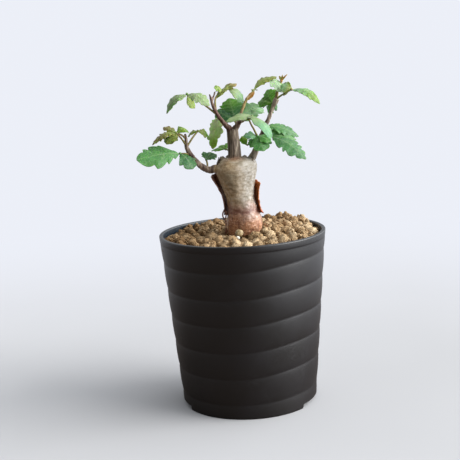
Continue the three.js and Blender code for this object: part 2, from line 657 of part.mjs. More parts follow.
// The leaves, from the left as seen from the front, then those in the middle and behind
const LEAVES = {
  leaf_lower_left: {
    paint: 'blueGreen',
    stalks: [[[-25, -7.6, 137.2], [-27.4, -9.2, 138.2], [-30.6, -10, 138.6]]],
    leaflets: [
      { to: [-52.7, -20, 137.6], width: 15.5, face: [0.1, -0.7, 0.7], rise: 1.6, teeth: 5, fullest: 1 },
      {
        from: [-28, -9.4, 138.3], to: [-24.6, -15, 130.9], width: 10.5, face: [0.5, -0.7, 0.4],
        rise: 1.2, teeth: 3, fullest: 0.7,
      },
    ],
  },
  leaf_left_young: {
    paint: 'young',
    stalks: [
      [[-27.2, -8, 142.2], [-29.2, -9, 146], [-31.9, -10, 149.4]],
      [[-27.1, -8, 145.6], [-28.6, -8.5, 147.6], [-30.8, -9.6, 149.1]],
    ],
    leaflets: [
      { to: [-38.8, -5, 152.4], width: 5.6, face: [0.2, -0.5, 0.8], rise: 0.8 },
      { to: [-44.6, -14, 144.2], width: 6.8, face: [-0.3, -0.5, 0.8], rise: 2.8, teeth: 4, fullest: 0.64 },
      { to: [-37, -16, 144.4], width: 8.8, face: [-0.4, -0.7, 0.4], rise: 0.8, teeth: 3, fullest: 0.75 },
      { to: [-26.2, -3.4, 149.8], width: 7.4, face: [0.1, -0.6, 0.8], rise: 2.2 },
    ],
  },
  leaf_left_inner: {
    paint: 'young',
    stalks: [[[-27, -8, 141.6], [-23.8, -5, 146], [-20.9, -2, 149.2]]],
    leaflets: [
      { to: [-26.4, 1, 146.2], width: 4.4, face: [0, -0.5, 0.8], rise: 1.2 },
      { to: [-15.4, 3.6, 145.2], width: 6.4, face: [0.2, -0.7, 0.7], rise: 1.6 },
    ],
  },
  leaf_upper_left: {
    paint: 'pale',
    stalks: [[[-10.2, -4, 157.4], [-15.5, -5, 162.2], [-20.7, -7, 166.9], [-25.2, -8, 169.3]]],
    leaflets: [
      {
        to: [-13.8, -13, 162.9], width: 10.4, face: [0.3, -0.5, 0.8], rise: 2.2, teeth: 3, bite: 0.2,
        fullest: 0.78,
      },
      { to: [-21.7, -2.4, 161.3], width: 6.4, face: [-0.8, 0.1, 0.4], rise: 1.2 },
      {
        to: [-36.3, -11, 159.8], width: 8.4, face: [-0.6, -0.5, 0.7], rise: 3.2, teeth: 3, bite: 0.14,
        fullest: 0.62,
      },
    ],
  },
  leaf_top_left: {
    paint: 'young',
    stalks: [[[-10.6, -4, 159.4], [-10.9, -0.8, 163.8], [-10, 1.2, 166.8], [-7, 4, 169], [-3.6, 6.2, 170.5]]],
    leaflets: [
      { from: [-6, 4.8, 169.6], to: [1, 9.4, 172.6], width: 6, face: [-0.3, -0.6, 0.7], rise: 0.9 },
      { from: [-10.6, 0.4, 165.6], to: [-3.6, 5.8, 171.4], width: 5.6, face: [-0.6, -0.6, 0.3], rise: 0.9 },
      { from: [-6.6, 4, 169.3], to: [-11, 1, 171.4], width: 5.6, face: [0.2, -0.6, 0.7], rise: 0.5 },
      { to: [4.6, 8.4, 162.4], width: 8, face: [0.5, -0.6, 0.6], rise: 1.4 },
    ],
  },
  leaf_top_arch: {
    paint: 'young',
    stalks: [[[8.2, 5.8, 165.8], [8.9, 6.6, 167.2], [9.8, 7.4, 168.6]]],
    leaflets: [
      {
        to: [22.9, 13, 175], width: 8.2, face: [-0.5, -0.5, 0.7], rise: 2.6, teeth: 4, bite: 0.2,
        fullest: 1.1,
      },
      { from: [20.4, 9.4, 174.3], to: [24.8, 3.4, 167], width: 9, face: [0.5, -0.7, 0.5], rise: 0.8 },
      { to: [11, 12, 168.6], width: 3.6, face: [0, 0, 1], rise: 0.4 },
    ],
  },
  leaf_upper_right: {
    paint: 'blueGreen',
    stalks: [[[22.3, 8.8, 163.4], [24.6, 6.4, 165.2], [27.4, 4, 166.8], [30, 1.8, 168.3]]],
    leaflets: [
      { from: [29.6, 2.6, 168], to: [25.8, 6.2, 165.4], width: 5.4, face: [0.3, -0.6, 0.7], rise: 0.6 },
      { from: [30.2, 2.2, 168.3], to: [24.2, 3, 170.6], width: 7.6, face: [0.1, -0.8, 0.5], rise: 0.8 },
      {
        to: [44.1, -5, 160.4], width: 8.4, face: [0.3, -0.5, 0.8], rise: 3.4, teeth: 4, bite: 0.24,
        fullest: 0.75,
      },
    ],
  },
  leaf_lower_right: {
    paint: 'blueGreen',
    stalks: [[[12.9, 5.8, 143.6], [15, 2.5, 143.4], [18.2, -0.4, 144.2]]],
    leaflets: [
      { to: [21.8, 4, 148.4], width: 7.4, face: [-0.2, -0.7, 0.6], rise: 0.6 },
      { from: [16.6, 2, 149.8], to: [33, 4.4, 143], width: 9.4, face: [0.1, -0.6, 0.8], rise: 1.6, teeth: 4 },
      { to: [35.3, -10, 132.2], width: 14, face: [0.4, -0.6, 0.7], rise: 2.2, teeth: 5 },
    ],
  },
  leaf_lower_centre: {
    paint: 'green',
    stalks: [
      [[10.2, 4.2, 138], [9.2, 2.2, 141.6], [10.4, 0.2, 145]],
      [[10.4, 0.2, 145], [8.9, -2.2, 148.6], [7.6, -4.2, 151.2], [7.2, -4.6, 153]],
      [[9.3, 2.4, 141.6], [7.7, 3.2, 141.2], [4.9, 3.8, 139.7]],
    ],
    leaflets: [
      { to: [13.4, -6.6, 136.8], width: 12.5, face: [0.1, -0.7, 0.6], rise: 1.2, teeth: 3, fullest: 0.78 },
      { to: [6.6, -3.4, 139.2], width: 7.4, face: [-0.1, -0.7, 0.6], rise: 0.8 },
      { to: [3.2, -2, 145.2], width: 5.6, face: [-0.1, -0.7, 0.7], rise: 0.8 },
      { from: [4.9, 3.8, 139.7], to: [2.3, 4, 144.6], width: 4.8, face: [0, -0.9, 0.1], rise: 0.4 },
      { to: [17.2, -4.6, 142], width: 7.6, face: [0.2, -0.7, 0.7], rise: 1 },
    ],
  },
  leaf_front: {
    paint: 'pale',
    stalks: [[[5.8, -3.3, 154.3], [7.4, -5.4, 155], [8, -8.2, 156.2]]],
    leaflets: [
      {
        from: [9, -8, 155.6], to: [-5.6, -17, 154.5], width: 6.6, face: [0, -0.5, 0.9], rise: 1.8,
        bite: 0.14, fullest: 0.75,
      },
      {
        from: [6.6, -8.4, 156.2], to: [16.4, -24, 145], width: 12, face: [0.6, -0.5, 0.6], rise: 3.2,
        teeth: 3, bite: 0.2, fullest: 0.72,
      },
      { to: [13.4, -2.4, 159.8], width: 8.4, face: [-0.2, -0.7, 0.7], rise: 1.4, teeth: 3 },
    ],
  },
  leaf_inner_hanging: {
    paint: 'pale',
    stalks: [[[-12, 6.4, 148.6], [-10.6, 6.4, 152.4], [-9, 5.4, 155.4], [-7.8, -1.8, 154]]],
    leaflets: [
      {
        from: [-9.6, 6, 154.9], to: [-14.6, 10, 146], width: 7.4, face: [-0.7, -0.6, 0.2], rise: 1,
        teeth: 3,
      },
      { from: [-9.8, 5.8, 154.2], to: [-9.8, 1.4, 144.8], width: 6.6, face: [-0.5, -0.8, 0.2], rise: 1 },
      {
        from: [-12.2, 6.2, 149.4], to: [-13.4, 2.8, 138.7], width: 7.8, face: [-0.5, -0.8, 0.1], rise: 0.8,
        fullest: 0.75,
      },
    ],
  },
  leaf_centre_back: {
    paint: 'deep',
    stalks: [[[-1.2, 0.6, 148.4], [-0.4, 4.4, 150.6], [-0.6, 9.2, 152.5]]],
    leaflets: [
      { to: [-3.2, 20, 164.4], width: 16, face: [-0.1, -0.75, 0.6], rise: 1.4, teeth: 4, fullest: 0.8 },
      { to: [-11.2, 15, 158], width: 11, face: [-0.2, -0.7, 0.7], rise: 1, teeth: 3 },
      { to: [12.4, 17, 160.4], width: 12.6, face: [0.2, -0.7, 0.7], rise: 1, teeth: 3 },
    ],
  },
  leaf_back_right: {
    paint: 'deep',
    stalks: [[[19.8, 8.8, 158.6], [20.6, 11.6, 160], [20.1, 14.2, 160.8]]],
    leaflets: [
      { to: [17.6, 22, 167.6], width: 10.4, face: [-0.4, -0.9, 0.2], rise: 1, teeth: 4, fullest: 0.75 },
      { to: [12.6, 21, 161.4], width: 9, face: [0, -0.8, 0.6], rise: 1 },
      { to: [17.6, 20.4, 155.6], width: 7.4, face: [-0.2, -0.8, 0.4], rise: 0.8 },
    ],
  },
  leaf_stem_back: {
    paint: 'deep',
    stalks: [[[-3, 1.8, 137.6], [-4.6, 7.4, 137], [-6.6, 12.4, 137.4]]],
    leaflets: [
      { to: [-14.4, 17.6, 136.3], width: 6, face: [0, -0.4, 0.9], rise: 1 },
      { to: [-2.6, 19.2, 139.8], width: 5.6, face: [0, -0.3, 0.9], rise: 1 },
    ],
  },
  leaf_trunk_left: {
    paint: 'deep',
    stalks: [[[-17, -3.6, 129], [-16.8, -1.4, 131.2], [-17.2, 1, 133.4]]],
    leaflets: [
      { to: [-19.3, 4.2, 137.2], width: 4.8, face: [0, -0.7, 0.6], rise: 0.5 },
      { to: [-15, 7, 137.6], width: 4.8, face: [0, -0.7, 0.6], rise: 0.6 },
      { to: [-11.6, 4.6, 135.6], width: 5.2, face: [0, -0.7, 0.7], rise: 0.6 },
    ],
  },
};

// The bronze growing tip on the right branch: small folded leaves round one point
const BUD_BASE = [25.2, 9, 172.8];
const BUD_LEAVES = [
  { to: [25.9, 9, 176], width: 1.7, face: [-0.8, -0.5, 0] },
  { to: [28.4, 8.6, 176.2], width: 1.6, face: [-0.7, -0.5, 0.5] },
  { to: [24.2, 11, 175.4], width: 1.7, face: [0.3, 0.7, 0.3] },
];

function makeBud() {
  const core = new THREE.IcosahedronGeometry(KNUCKLE_RADIUS, 0);
  core.translate(...BUD_BASE);
  const blades = BUD_LEAVES.map((blade) => leaflet({ ...blade, from: BUD_BASE, rise: 0.2, teeth: 1 }));
  return fuse([solidOf(core), ...blades]);
}

const BARK_FLAPS = {
  bark_flap_left: {
    fixed: 128, free: 196, bottom: 101.5, top: 125.5, lift: 2.6, seed: 5, paint: 'flapDark',
  },
  bark_flap_right: {
    fixed: 48, free: -24, bottom: 101.8, top: 121.5, lift: 2.7, seed: 9, paint: 'flapBright',
  },
};

const pottedBursera = new THREE.Group();
const clearOfWood = woodySolid(GAP);
pottedBursera.add(meshOf('pot', makePot(), PAINT.pot));
pottedBursera.add(meshOf('soil', makeSoil(), PAINT.soil));
pottedBursera.add(meshOf('prill', prill(), PAINT.prill));
pottedBursera.add(meshOf('caudex', mainBody(woodySolid()), PAINT.caudex));
for (const [name, flap] of Object.entries(BARK_FLAPS)) {
  pottedBursera.add(meshOf(name, mainBody(barkFlap(flap).subtract(clearOfWood)), PAINT[flap.paint]));
}
for (const [name, leaf] of Object.entries(LEAVES)) {
  pottedBursera.add(meshOf(name, mainBody(compoundLeaf(leaf).subtract(clearOfWood)), PAINT[leaf.paint]));
}
pottedBursera.add(meshOf('bud_right', mainBody(makeBud().subtract(clearOfWood)), PAINT.bud));
pottedBursera.position.set(POT_X, POT_Y, 0);

export default pottedBursera;
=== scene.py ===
# The looks of the potted fragrant bursera: a caudex tree with toothed leaves in a black banded pot.
# Sizes and places are in millimetres from the pot's own axis and the surface it stands on, until
# placed() turns them into metres in the part's frame. A colour in hex is a swatch, and one in numbers is
# linear light.
import math

import bmesh
import bpy
import numpy as np
from mathutils import Matrix, Vector, noise


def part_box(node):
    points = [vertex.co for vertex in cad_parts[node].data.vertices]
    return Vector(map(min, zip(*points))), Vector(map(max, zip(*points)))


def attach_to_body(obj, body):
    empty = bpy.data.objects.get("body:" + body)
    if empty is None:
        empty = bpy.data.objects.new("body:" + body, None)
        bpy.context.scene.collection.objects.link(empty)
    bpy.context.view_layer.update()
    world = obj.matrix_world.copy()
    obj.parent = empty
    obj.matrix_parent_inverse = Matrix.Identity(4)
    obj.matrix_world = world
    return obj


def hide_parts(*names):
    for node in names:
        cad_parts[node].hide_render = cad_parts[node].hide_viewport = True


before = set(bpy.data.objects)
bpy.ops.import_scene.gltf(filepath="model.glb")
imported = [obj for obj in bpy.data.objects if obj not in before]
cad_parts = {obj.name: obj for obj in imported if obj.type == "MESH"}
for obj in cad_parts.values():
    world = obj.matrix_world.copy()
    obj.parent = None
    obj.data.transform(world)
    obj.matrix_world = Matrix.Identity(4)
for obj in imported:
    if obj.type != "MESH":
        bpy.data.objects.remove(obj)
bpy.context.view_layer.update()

MM = 0.001
BODY = "root"
pot_low, pot_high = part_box("pot")
POT_MIDDLE = np.array([(pot_low.x + pot_high.x) / 2, (pot_low.y + pot_high.y) / 2, pot_low.z])

# Camera, fitted to the pot's rim and foot
FRAME_PIXELS = 460
FOCAL_PIXELS = 1014.8
SENSOR = 36
CAMERA_DISTANCE = 550
CAMERA_ELEVATION = math.radians(10.559)
CAMERA_ROLL = math.radians(-3)
CAMERA_AIM = (-6.547, 0, 94.635)

# Light: a wide soft window on the right, and a pale room that is dimmer in front
BACKDROP = (0.84, 0.865, 0.935, 1)
ROOM_COLOUR = (0.93, 0.96, 1.0, 1)
WINDOW_COLOUR = (1, 0.985, 0.96)
BRIGHT_SIDE = (0.98, -0.1, 0.17)
DIM_LIGHT = 0.05
SIDE_LIGHT = 2.8
WALL_LIGHT = 0.7
TOP_LIGHT = 0.35
LEFT_LIGHT = 0.45
WINDOW_SIDE = (0.9, -0.2, 0.38)
WINDOW_POWER = 3.3
WINDOW_WIDTH = 50
FLOOR_RADIUS = 4

# Pot
POT_HEIGHT = 94
RIM_RADIUS = 45
FOOT_RADIUS = 36.8
WALL = 1.7
LIP_WIDTH = 2.1
LIP_DEPTH = 3.4
LIP_BOTTOM = POT_HEIGHT - LIP_DEPTH
LIP_ROUND = 0.6
LIP_STEP = 0.14
BAND_PITCH = 14.4
FIRST_GROOVE = 7.5
BAND_SWELL = 0.5
BAND_WAVER = 2.1
HIGH_SIDE = math.radians(-5)
HIGH_SIDE_EDGE = 0.45
HIGH_SIDE_SHARPNESS = 2.6
FLOOR_UNDERSIDE = 2.8
FLOOR_THICK = 1.8
FLOOR_TOP = FLOOR_UNDERSIDE + FLOOR_THICK
FOOT_WALL = 2
# The foot's rounded edges, from its inside out, as a radius and a height above the ground or the notch
FOOT_EDGES = [(FOOT_RADIUS - FOOT_WALL, 0.3), (FOOT_RADIUS - FOOT_WALL + 0.3, 0),
              (FOOT_RADIUS - 0.35, 0), (FOOT_RADIUS - 0.1, 0.1)]
# The foot's two notches. Their sides lean by NOTCH_SIDE and have points at NOTCH_TURNS from them, in radians,
# and the wall's rows that a notch would cut are squeezed into NOTCH_SQUEEZE above it
NOTCH_HEIGHT = 2.3
NOTCH_HALF_ANGLE = math.radians(35)
NOTCH_CENTRE = math.radians(-6)
NOTCH_SIDE = 0.006
NOTCH_TURNS = (-0.007, -0.002, 0.002, 0.007)
NOTCH_SQUEEZE = 0.4
# The step under the lip, as shares of its width and heights
LIP_EDGES = [(0, 0), (0.6, 0.12), (1, 0.4)]
DRAIN_RADIUS = 2.6
DRAIN_RING = 20
DRAIN_COUNT = 6
DRAIN_SIDES = 32
POT_SIDES = 240
WALL_FROM = 0.4
WALL_STEP = 0.6
INNER_ROWS = 24
CRISP_BEND = math.radians(50)

# Soil
SOIL_LEVEL = 89
SOIL_GAP = 0.35
# The root's hole: its lowest and highest ring and its gap, then the height at which the surface's inner edge
# takes the trunk's width, and the gap there
HOLE_BOTTOM = 61.3
HOLE_TOP = 90
ROOT_GAP = 0.5
COLLAR = 94
ROOT_GAP_ON_TOP = 0.4
# The heap: its rise to the right with where that starts and ends, its drop to the wall in the same way, and
# mounds and hollows as a place, a rise and a spread
RIGHT_BANK = (1.6, -12, 24)
EDGE_DIP = (1.6, 37, 41)
MOUNDS = [
    (24, 24, 3.6, 15),
    (-12, 24, 1.8, 15),
    (1.9, -2, 5, 14),
    (-9.8, -1.4, -9, 4.4),
    (-1.8, -14.5, -3, 4),
]
SOIL_SIDES = 120
SOIL_ROWS = 26
SIDE_ROWS = 12
# The rows of the surface that granules lie on, which leave out the trunk's edge and the wall's
STREWN_ROWS = slice(3, -1)
# The small granules lie low in the gaps between the large ones and take only the darker tones: painted shade
# in the gaps
GRANULE_LAYERS = {
    "granules_small": {"Spacing": 3.6 * MM, "Smallest": 1.4 * MM, "Largest": 2.4 * MM, "Lift": 0.4 * MM,
                       "Crumble": 3 * MM, "Crumbs": 0.0, "Darkest": 0.0, "Lightest": 0.6, "Seed": 3},
    "granules_large": {"Spacing": 6.2 * MM, "Smallest": 2.1 * MM, "Largest": 3.5 * MM, "Lift": 2.6 * MM,
                       "Crumble": 5 * MM, "Crumbs": 5.0e4, "Darkest": 0.25, "Lightest": 1.0, "Seed": 11},
}
MOST_GRANULES = 2.0e6
LUMP_SCALE = 330.0
CRUMB_SCALE = 1300.0
CRUMB_DEPTH = 0.5 * MM
CRUMB_SIZES = ((0.7 * MM, 0.7 * MM, 0.6 * MM), (1.6 * MM, 1.4 * MM, 1.2 * MM))
CRUMB_TONES = (0.3, 1.0)
FULL_TURN = (6.283, 6.283, 6.283)
PRILL = dict(middle=(-1.8, -14.3, 95.4), size=(2.15, 2.1, 2.0), seed=2, roughness=0.1)
WHITE_CRUMB = dict(middle=(-2.6, -16.8, 93.4), size=(0.95, 0.9, 0.85), seed=5, roughness=0.35)

# Caudex: height, middle across, half width
CAUDEX_RINGS = [
    (62, 2.5, 1.6), (72, 2.4, 4.6), (84, 2.2, 7.8), (95, 1.9, 9.2), (99, 1.8, 9.5),
    (102.5, 1.6, 9.0), (106, 0.9, 7.9), (111, 0.3, 7.5), (115, -0.4, 8.0), (119, -1.0, 8.9),
    (123.5, -1.7, 10.2), (128, -2.0, 11.1), (131, -1.5, 10.4), (133, -1.2, 8.2), (134, -1.4, 4.6),
]
ROOT_BOTTOM = CAUDEX_RINGS[0][0]
# Lumps as waves round the trunk, their twist with height and how high they are, in full from this radius on
LUMPS = [(3, 0.11, 0.35), (5, -0.23, 0.2)]
FULL_LUMPS_FROM = 8
TRUNK_SIDES = 96
LIMB_SIDES = 24
LIMB_ROWS = 8
WOOD_GRID = 0.3
# How far the skin's unevenness stands out
TRUNK_LUMPS = 0.22
TRUNK_GRAIN = 0.1
STEM_RIBS = 0.28
STEM_GRAIN = 0.06
RIM_CRUMBLE = 0.5
RIB_GROOVES_BELOW = 150
# Where the stems' skin starts and where it is full: by how far off the trunk, and by height
STEM_OFF_TRUNK = (0.6, 1.6)
STEM_FROM = (132.6, 134.4)
# The trunk's rim: its height, how far off the trunk it fades out, and where it fades in towards the back
RIM_LEVEL = 132.4
RIM_FADE = (1.5, 3)
RIM_BEHIND = (-4, 6)

# Stems and branches: the points that each runs through and its radius along them
LIMBS = {
    "stem_left": ([(-3.0, 0.4, 131), (-3.4, 0.5, 141), (-3.9, 0, 148.5), (-5.2, -1, 151.2)],
                  [2.6, 2.0, 1.8, 1.3]),
    "stem_right": ([(-0.4, 0.2, 131), (-0.8, 0.3, 141), (-1.1, 0, 148.5), (0.6, -0.2, 151)],
                   [2.3, 2.0, 1.8, 1.3]),
    "stem_front": ([(-1.8, -1.3, 131), (-2.2, -1.1, 141), (-2.5, -1, 148.8)], [2.3, 1.8, 1.5]),
    "stem_back": ([(-1.8, 2, 131), (-2.2, 1.9, 141), (-2.4, 1, 149)], [2.6, 2.0, 1.4]),
    "left_fork": ([(-4.4, -0.6, 149.8), (-7.5, -2.4, 153.6), (-10, -4, 157.6), (-11.9, -5, 161.9),
                   (-12.9, -5, 165.8), (-13.5, -5, 168.4)], [1.4, 1.15, 1.0, 0.85, 0.65, 0.45]),
    "left_fork_twig": ([(-12.5, -5, 164.6), (-11.6, -4, 167), (-10.6, -3, 169.3)], [0.65, 0.5, 0.4]),
    "front_fork": ([(-0.4, -0.2, 149.8), (1.4, -0.8, 152.7), (4.2, -2.2, 154), (7.2, -4, 154.5)],
                   [1.5, 1.3, 0.9, 0.6]),
    "right_fork": ([(0.4, -0.4, 151.2), (1.5, 0.6, 154.2), (2.7, 1.8, 157.3), (4.4, 3.2, 161.3),
                    (6.4, 4.7, 164.9), (8.8, 5.9, 166.8)], [1.2, 0.95, 0.8, 0.8, 0.75, 0.55]),
    "right_branch": ([(4.6, 1.6, 129), (7.2, 3, 132.8), (9.9, 4, 137.4), (13.3, 6, 144.6), (17.3, 8, 153.1),
                      (20.1, 9, 159.1), (22.1, 9, 163.2)], [2.7, 2.1, 1.7, 1.3, 1.1, 1.1, 1.7]),
    "bud_twig": ([(22, 9, 162.6), (22.7, 9, 167.2), (24.2, 9, 170), (25.2, 9, 172.2)], [1.1, 0.8, 0.7, 0.55]),
    "left_branch": ([(-7.5, 0, 127.6), (-12.7, -2, 128.6), (-15.6, -3, 128.3), (-19.6, -5, 130.4),
                     (-23.2, -7, 134.6), (-26, -8, 138.9), (-27.2, -8, 142.2), (-27.1, -8, 145.9),
                     (-27.5, -8, 148.6)], [2.7, 2.2, 1.9, 1.6, 1.4, 1.3, 1.0, 0.8, 0.5]),
    "left_stub": ([(-7.5, 2.6, 131), (-9.2, 3, 134)], [2.4, 1.3]),
    "back_stub": ([(-4.4, 6.4, 131), (-5.4, 7.2, 134.2)], [2.2, 1.4]),
    "right_stub": ([(5.6, -2.4, 130.6), (6.6, -3, 133)], [1.9, 1.1]),
    "far_stub": ([(3, 6.2, 131), (3.6, 7, 133.6)], [2, 1.3]),
}
# Pale ribs on the central stem, each with how clear it is
PALE_RIBS = [
    ([(0.6, -3, 134), (-0.2, -3, 140), (-0.6, -3, 145.6)], 1),
    ([(-2.6, -3.4, 136), (-2.9, -3.2, 145)], 0.8),
    ([(2.2, -2, 134), (1.4, -2, 142)], 0.6),
]
PALE_RIB_WIDTH = 0.55
# How far round a limb's line its own tone reaches. Then where each tone fades in or out: to the right for
# PALE_BRANCH_FROM, and by height for the others
LIMB_REACH = {"left_fork": 2.2, "right_fork": 1.8, "left_branch": 3.2, "right_branch": 3.2, "bud_twig": 1.4}
PALE_BRANCH_FROM = (5.5, 7.5)
PALE_BRANCH_TO = (138, 144)
RED_FORK_BELOW = 158
GREEN_FORK_FROM = (155, 160)
GREEN_TWIG_FROM = (163, 166)
# Round places on the bark, each with its middle and its reach along each axis
# PAINTED_HOLLOW_SHADE is painted shadow: a near-black spot on the trunk's top beside the right branch, where
# a hollow lies in shade
PAINTED_HOLLOW_SHADE = ((5.4, -1, 133.6), (1.5, 3, 2.4))
PALE_KNOT = ((21.6, 8, 162.6), (2.2, 3, 2))
WORN_RIM = ((-2.2, -4.5, 133.4), (4, 4, 1.3))
GREY_PATCH = ((-5, -9, 125), (5, 8, 3.2))
# Where the trunk's left side fades in, by how far left of the pot's axis
LEFT_SIDE = (-5, 7)

# The trunk's bark by height: where each skin starts and where it is full
PINK_SKIN = (112.5, 106.5)
RUST_SKIN = (104.5, 98)
CRACKED_SKIN = (104, 100)
SKIN_WAVER = 12
# Dark lines round the waist: fading in downwards, fading out below, strength and colour
WAIST_LINES = [((109.5, 106.5), (103.5, 105), 0.35, "5C3426"), ((106.4, 105), (103, 104.4), 0.4, "6A3226")]
# Torn bark that stands on the trunk's rim: from and to which turn, in degrees, and its seed
TORN_RIM = [((206, 128), 2), ((-30, 8), 6)]
TORN_RIM_MIDDLE = -1.5
TORN_RIM_RADIUS = 10.1
TORN_RIM_FOOT = 130.6
TORN_RIM_THICK = 0.3


def linear(swatch):
    """A swatch in the light values that the shader uses"""
    parts = [int(swatch[i:i + 2], 16) / 255 for i in (0, 2, 4)]
    return tuple(p / 12.92 if p < 0.04045 else ((p + 0.055) / 1.055) ** 2.4 for p in parts)


def opaque(colour):
    """A swatch as a socket takes it, while a wire or ready light values stay as they are"""
    return (*linear(colour), 1) if isinstance(colour, str) else colour


def smoothstep(value, low, high):
    share = np.clip((value - low) / (high - low), 0, 1)
    return share * share * (3 - 2 * share)


def placed(points):
    """Millimetres from the pot's axis to metres in the part's frame"""
    return np.asarray(points, float) * MM + POT_MIDDLE


def draw_from(seed):
    """The seeded draw between 0 and 1 that the solids use too"""
    state = seed
    while True:
        state = (state * 1664525 + 1013904223) % 4294967296
        yield state / 4294967296


# Node trees

class Wire:
    """One output socket: arithmetic on wires adds Math nodes to their tree"""

    def __init__(self, nodes, socket):
        self.nodes = nodes
        self.socket = socket

    def math(self, operation, *values):
        return self.nodes.add("ShaderNodeMath", {"operation": operation}, dict(enumerate(values)))

    def __add__(self, other):
        return self.math("ADD", self, other)

    def __radd__(self, other):
        return self.math("ADD", other, self)

    def __sub__(self, other):
        return self.math("SUBTRACT", self, other)

    def __rsub__(self, other):
        return self.math("SUBTRACT", other, self)

    def __mul__(self, other):
        return self.math("MULTIPLY", self, other)

    def __rmul__(self, other):
        return self.math("MULTIPLY", other, self)

    def between(self, low, high):
        """0 up to low, 1 from high on and smooth between them, where high may also be the lower value"""
        values = {"Value": self, "From Min": low, "From Max": high}
        return self.nodes.add("ShaderNodeMapRange", {"interpolation_type": "SMOOTHSTEP"}, values)


class Nodes:
    """A node tree in the making, of a material, of the room's light or of Geometry Nodes"""

    def __init__(self, tree):
        self.tree = tree

    def add(self, kind, settings=None, values=None, output=0):
        """Adds a node with its settings, then the values or wires of its sockets"""
        node = self.tree.nodes.new(kind)
        for name, setting in (settings or {}).items():
            if name == "stops":
                ramp = node.color_ramp
                while len(ramp.elements) < len(setting):
                    ramp.elements.new(1)
                for element, (place, colour) in zip(ramp.elements, setting):
                    element.position, element.color = place, colour
            else:
                setattr(node, name, setting)
        for name, value in (values or {}).items():
            if isinstance(value, Wire):
                self.tree.links.new(value.socket, node.inputs[name])
            else:
                node.inputs[name].default_value = value
        return Wire(self, node.outputs[output]) if node.outputs else node

    def mix(self, share, first, second, blend="MIX"):
        """Two colours mixed: share 0 gives the first and 1 the second"""
        settings = {"data_type": "RGBA", "blend_type": blend}
        return self.add("ShaderNodeMix", settings, {0: share, 6: opaque(first), 7: opaque(second)}, 2)

    def ramp(self, value, *stops):
        settings = {"stops": [(place, opaque(colour)) for place, colour in stops]}
        return self.add("ShaderNodeValToRGB", settings, {"Fac": value}, "Color")


class Finish(Nodes):
    """A material: one Principled shader fed by what varies over the surface"""

    def __init__(self, name):
        self.material = bpy.data.materials.new(name)
        self.material.use_nodes = True
        super().__init__(self.material.node_tree)
        self.tree.nodes.clear()
        self.place = self.add("ShaderNodeTexCoord", output="Object")

    def mark(self, name, output="Fac"):
        """A value or a colour that the mesh carries"""
        return self.add("ShaderNodeAttribute", {"attribute_name": name}, output=output)

    def axis(self, name):
        """One coordinate of the place, in metres"""
        return self.add("ShaderNodeSeparateXYZ", values={0: self.place}, output=name)

    def stretched(self, x, y, z):
        return self.add("ShaderNodeMapping", values={"Vector": self.place, "Scale": (x, y, z)})

    def grain(self, scale, detail=4, rough=0.55, place=None, warp=0.0):
        """Noise, about 0.5, with patches of about 1/scale metres"""
        values = {"Vector": place or self.place, "Scale": scale, "Detail": detail,
                  "Roughness": rough, "Distortion": warp}
        return self.add("ShaderNodeTexNoise", values=values)

    def cells(self, scale):
        values = {"Vector": self.place, "Scale": scale}
        return self.add("ShaderNodeTexVoronoi", values=values, output="Distance")

    def bump(self, height, depth, strength=1.0, under=None):
        """Relief of this depth in millimetres"""
        values = {"Height": height, "Distance": depth * MM, "Strength": strength}
        if under:
            values["Normal"] = under
        return self.add("ShaderNodeBump", values=values, output="Normal")

    def finished(self, colour, roughness, normal=None, **fixed):
        values = {"Base Color": colour, "Roughness": roughness}
        values.update({name.replace("_", " "): value for name, value in fixed.items()})
        if normal:
            values["Normal"] = normal
        shader = self.add("ShaderNodeBsdfPrincipled", values=values)
        self.add("ShaderNodeOutputMaterial", values={"Surface": shader})
        return self.material


# Finishes

def pot_plastic():
    """Black satin plastic with a little dust, and a painted bluish reflection of the sky on the inside"""
    f = Finish("pot_plastic")
    cloud = f.grain(45, 3)
    dust = f.grain(900, 3).between(0.5, 0.78) * f.grain(60, 4).between(0.45, 0.7)
    colour = f.mix(cloud.between(0.35, 0.65), "0A0809", "0D0B0F")
    colour = f.mix(dust * 0.14, colour, "444248")
    # Painted reflection: the inside wall is tinted blue as if it reflected the pale sky
    colour = f.mix(f.mark("inside"), colour, "0E2230")
    normal = f.bump(f.grain(2600, 2), 0.02, 0.25)
    return f.finished(colour, 0.36 + cloud * 0.12 + dust * 0.2, normal, Specular_IOR_Level=0.78)


def clay_granules():
    """Dry crumbled clay, with painted shade that darkens it left of the trunk's foot and along the far wall
    """
    f = Finish("clay_granules")
    crumb = f.grain(1100, 6, 0.7)
    patch = f.grain(300, 4, 0.6)
    colour = f.ramp(f.mark("granule_tone"), (0, "443320"), (0.3, "9E8260"), (0.7, "C2A884"), (1, "DCC4A0"))
    colour = f.mix(patch.between(0.4, 0.66) * 0.6, colour, "B4946C")
    colour = f.mix(crumb.between(0.54, 0.38) * 0.7, colour, "5C4730")
    colour = f.mix(crumb.between(0.58, 0.7) * 0.5, colour, "E4D3B6")
    # Painted shade: the granules darken left of the trunk's foot, in the trunk's shadow, and along the far
    # wall
    shade_left_of_trunk = f.axis("X").between(-0.004, -0.022) * 0.6
    shade_by_far_wall = f.axis("Y").between(0.012, 0.034) * 0.4
    colour = f.mix(1 - (1 - shade_left_of_trunk) * (1 - shade_by_far_wall), colour, "BCA88E", "MULTIPLY")
    normal = f.bump(f.grain(3600, 4, 0.7), 0.14, 0.7, f.bump(crumb, 0.55, 0.85))
    return f.finished(colour, 0.95, normal, Specular_IOR_Level=0.12)


def packed_soil():
    f = Finish("packed_soil")
    crumb = f.grain(600, 6, 0.7)
    colour = f.ramp(crumb, (0.3, "20150A"), (0.5, "4A3419"), (0.7, "7A5C34"))
    return f.finished(colour, 1.0, f.bump(crumb, 1.2, 0.9), Specular_IOR_Level=0.1)


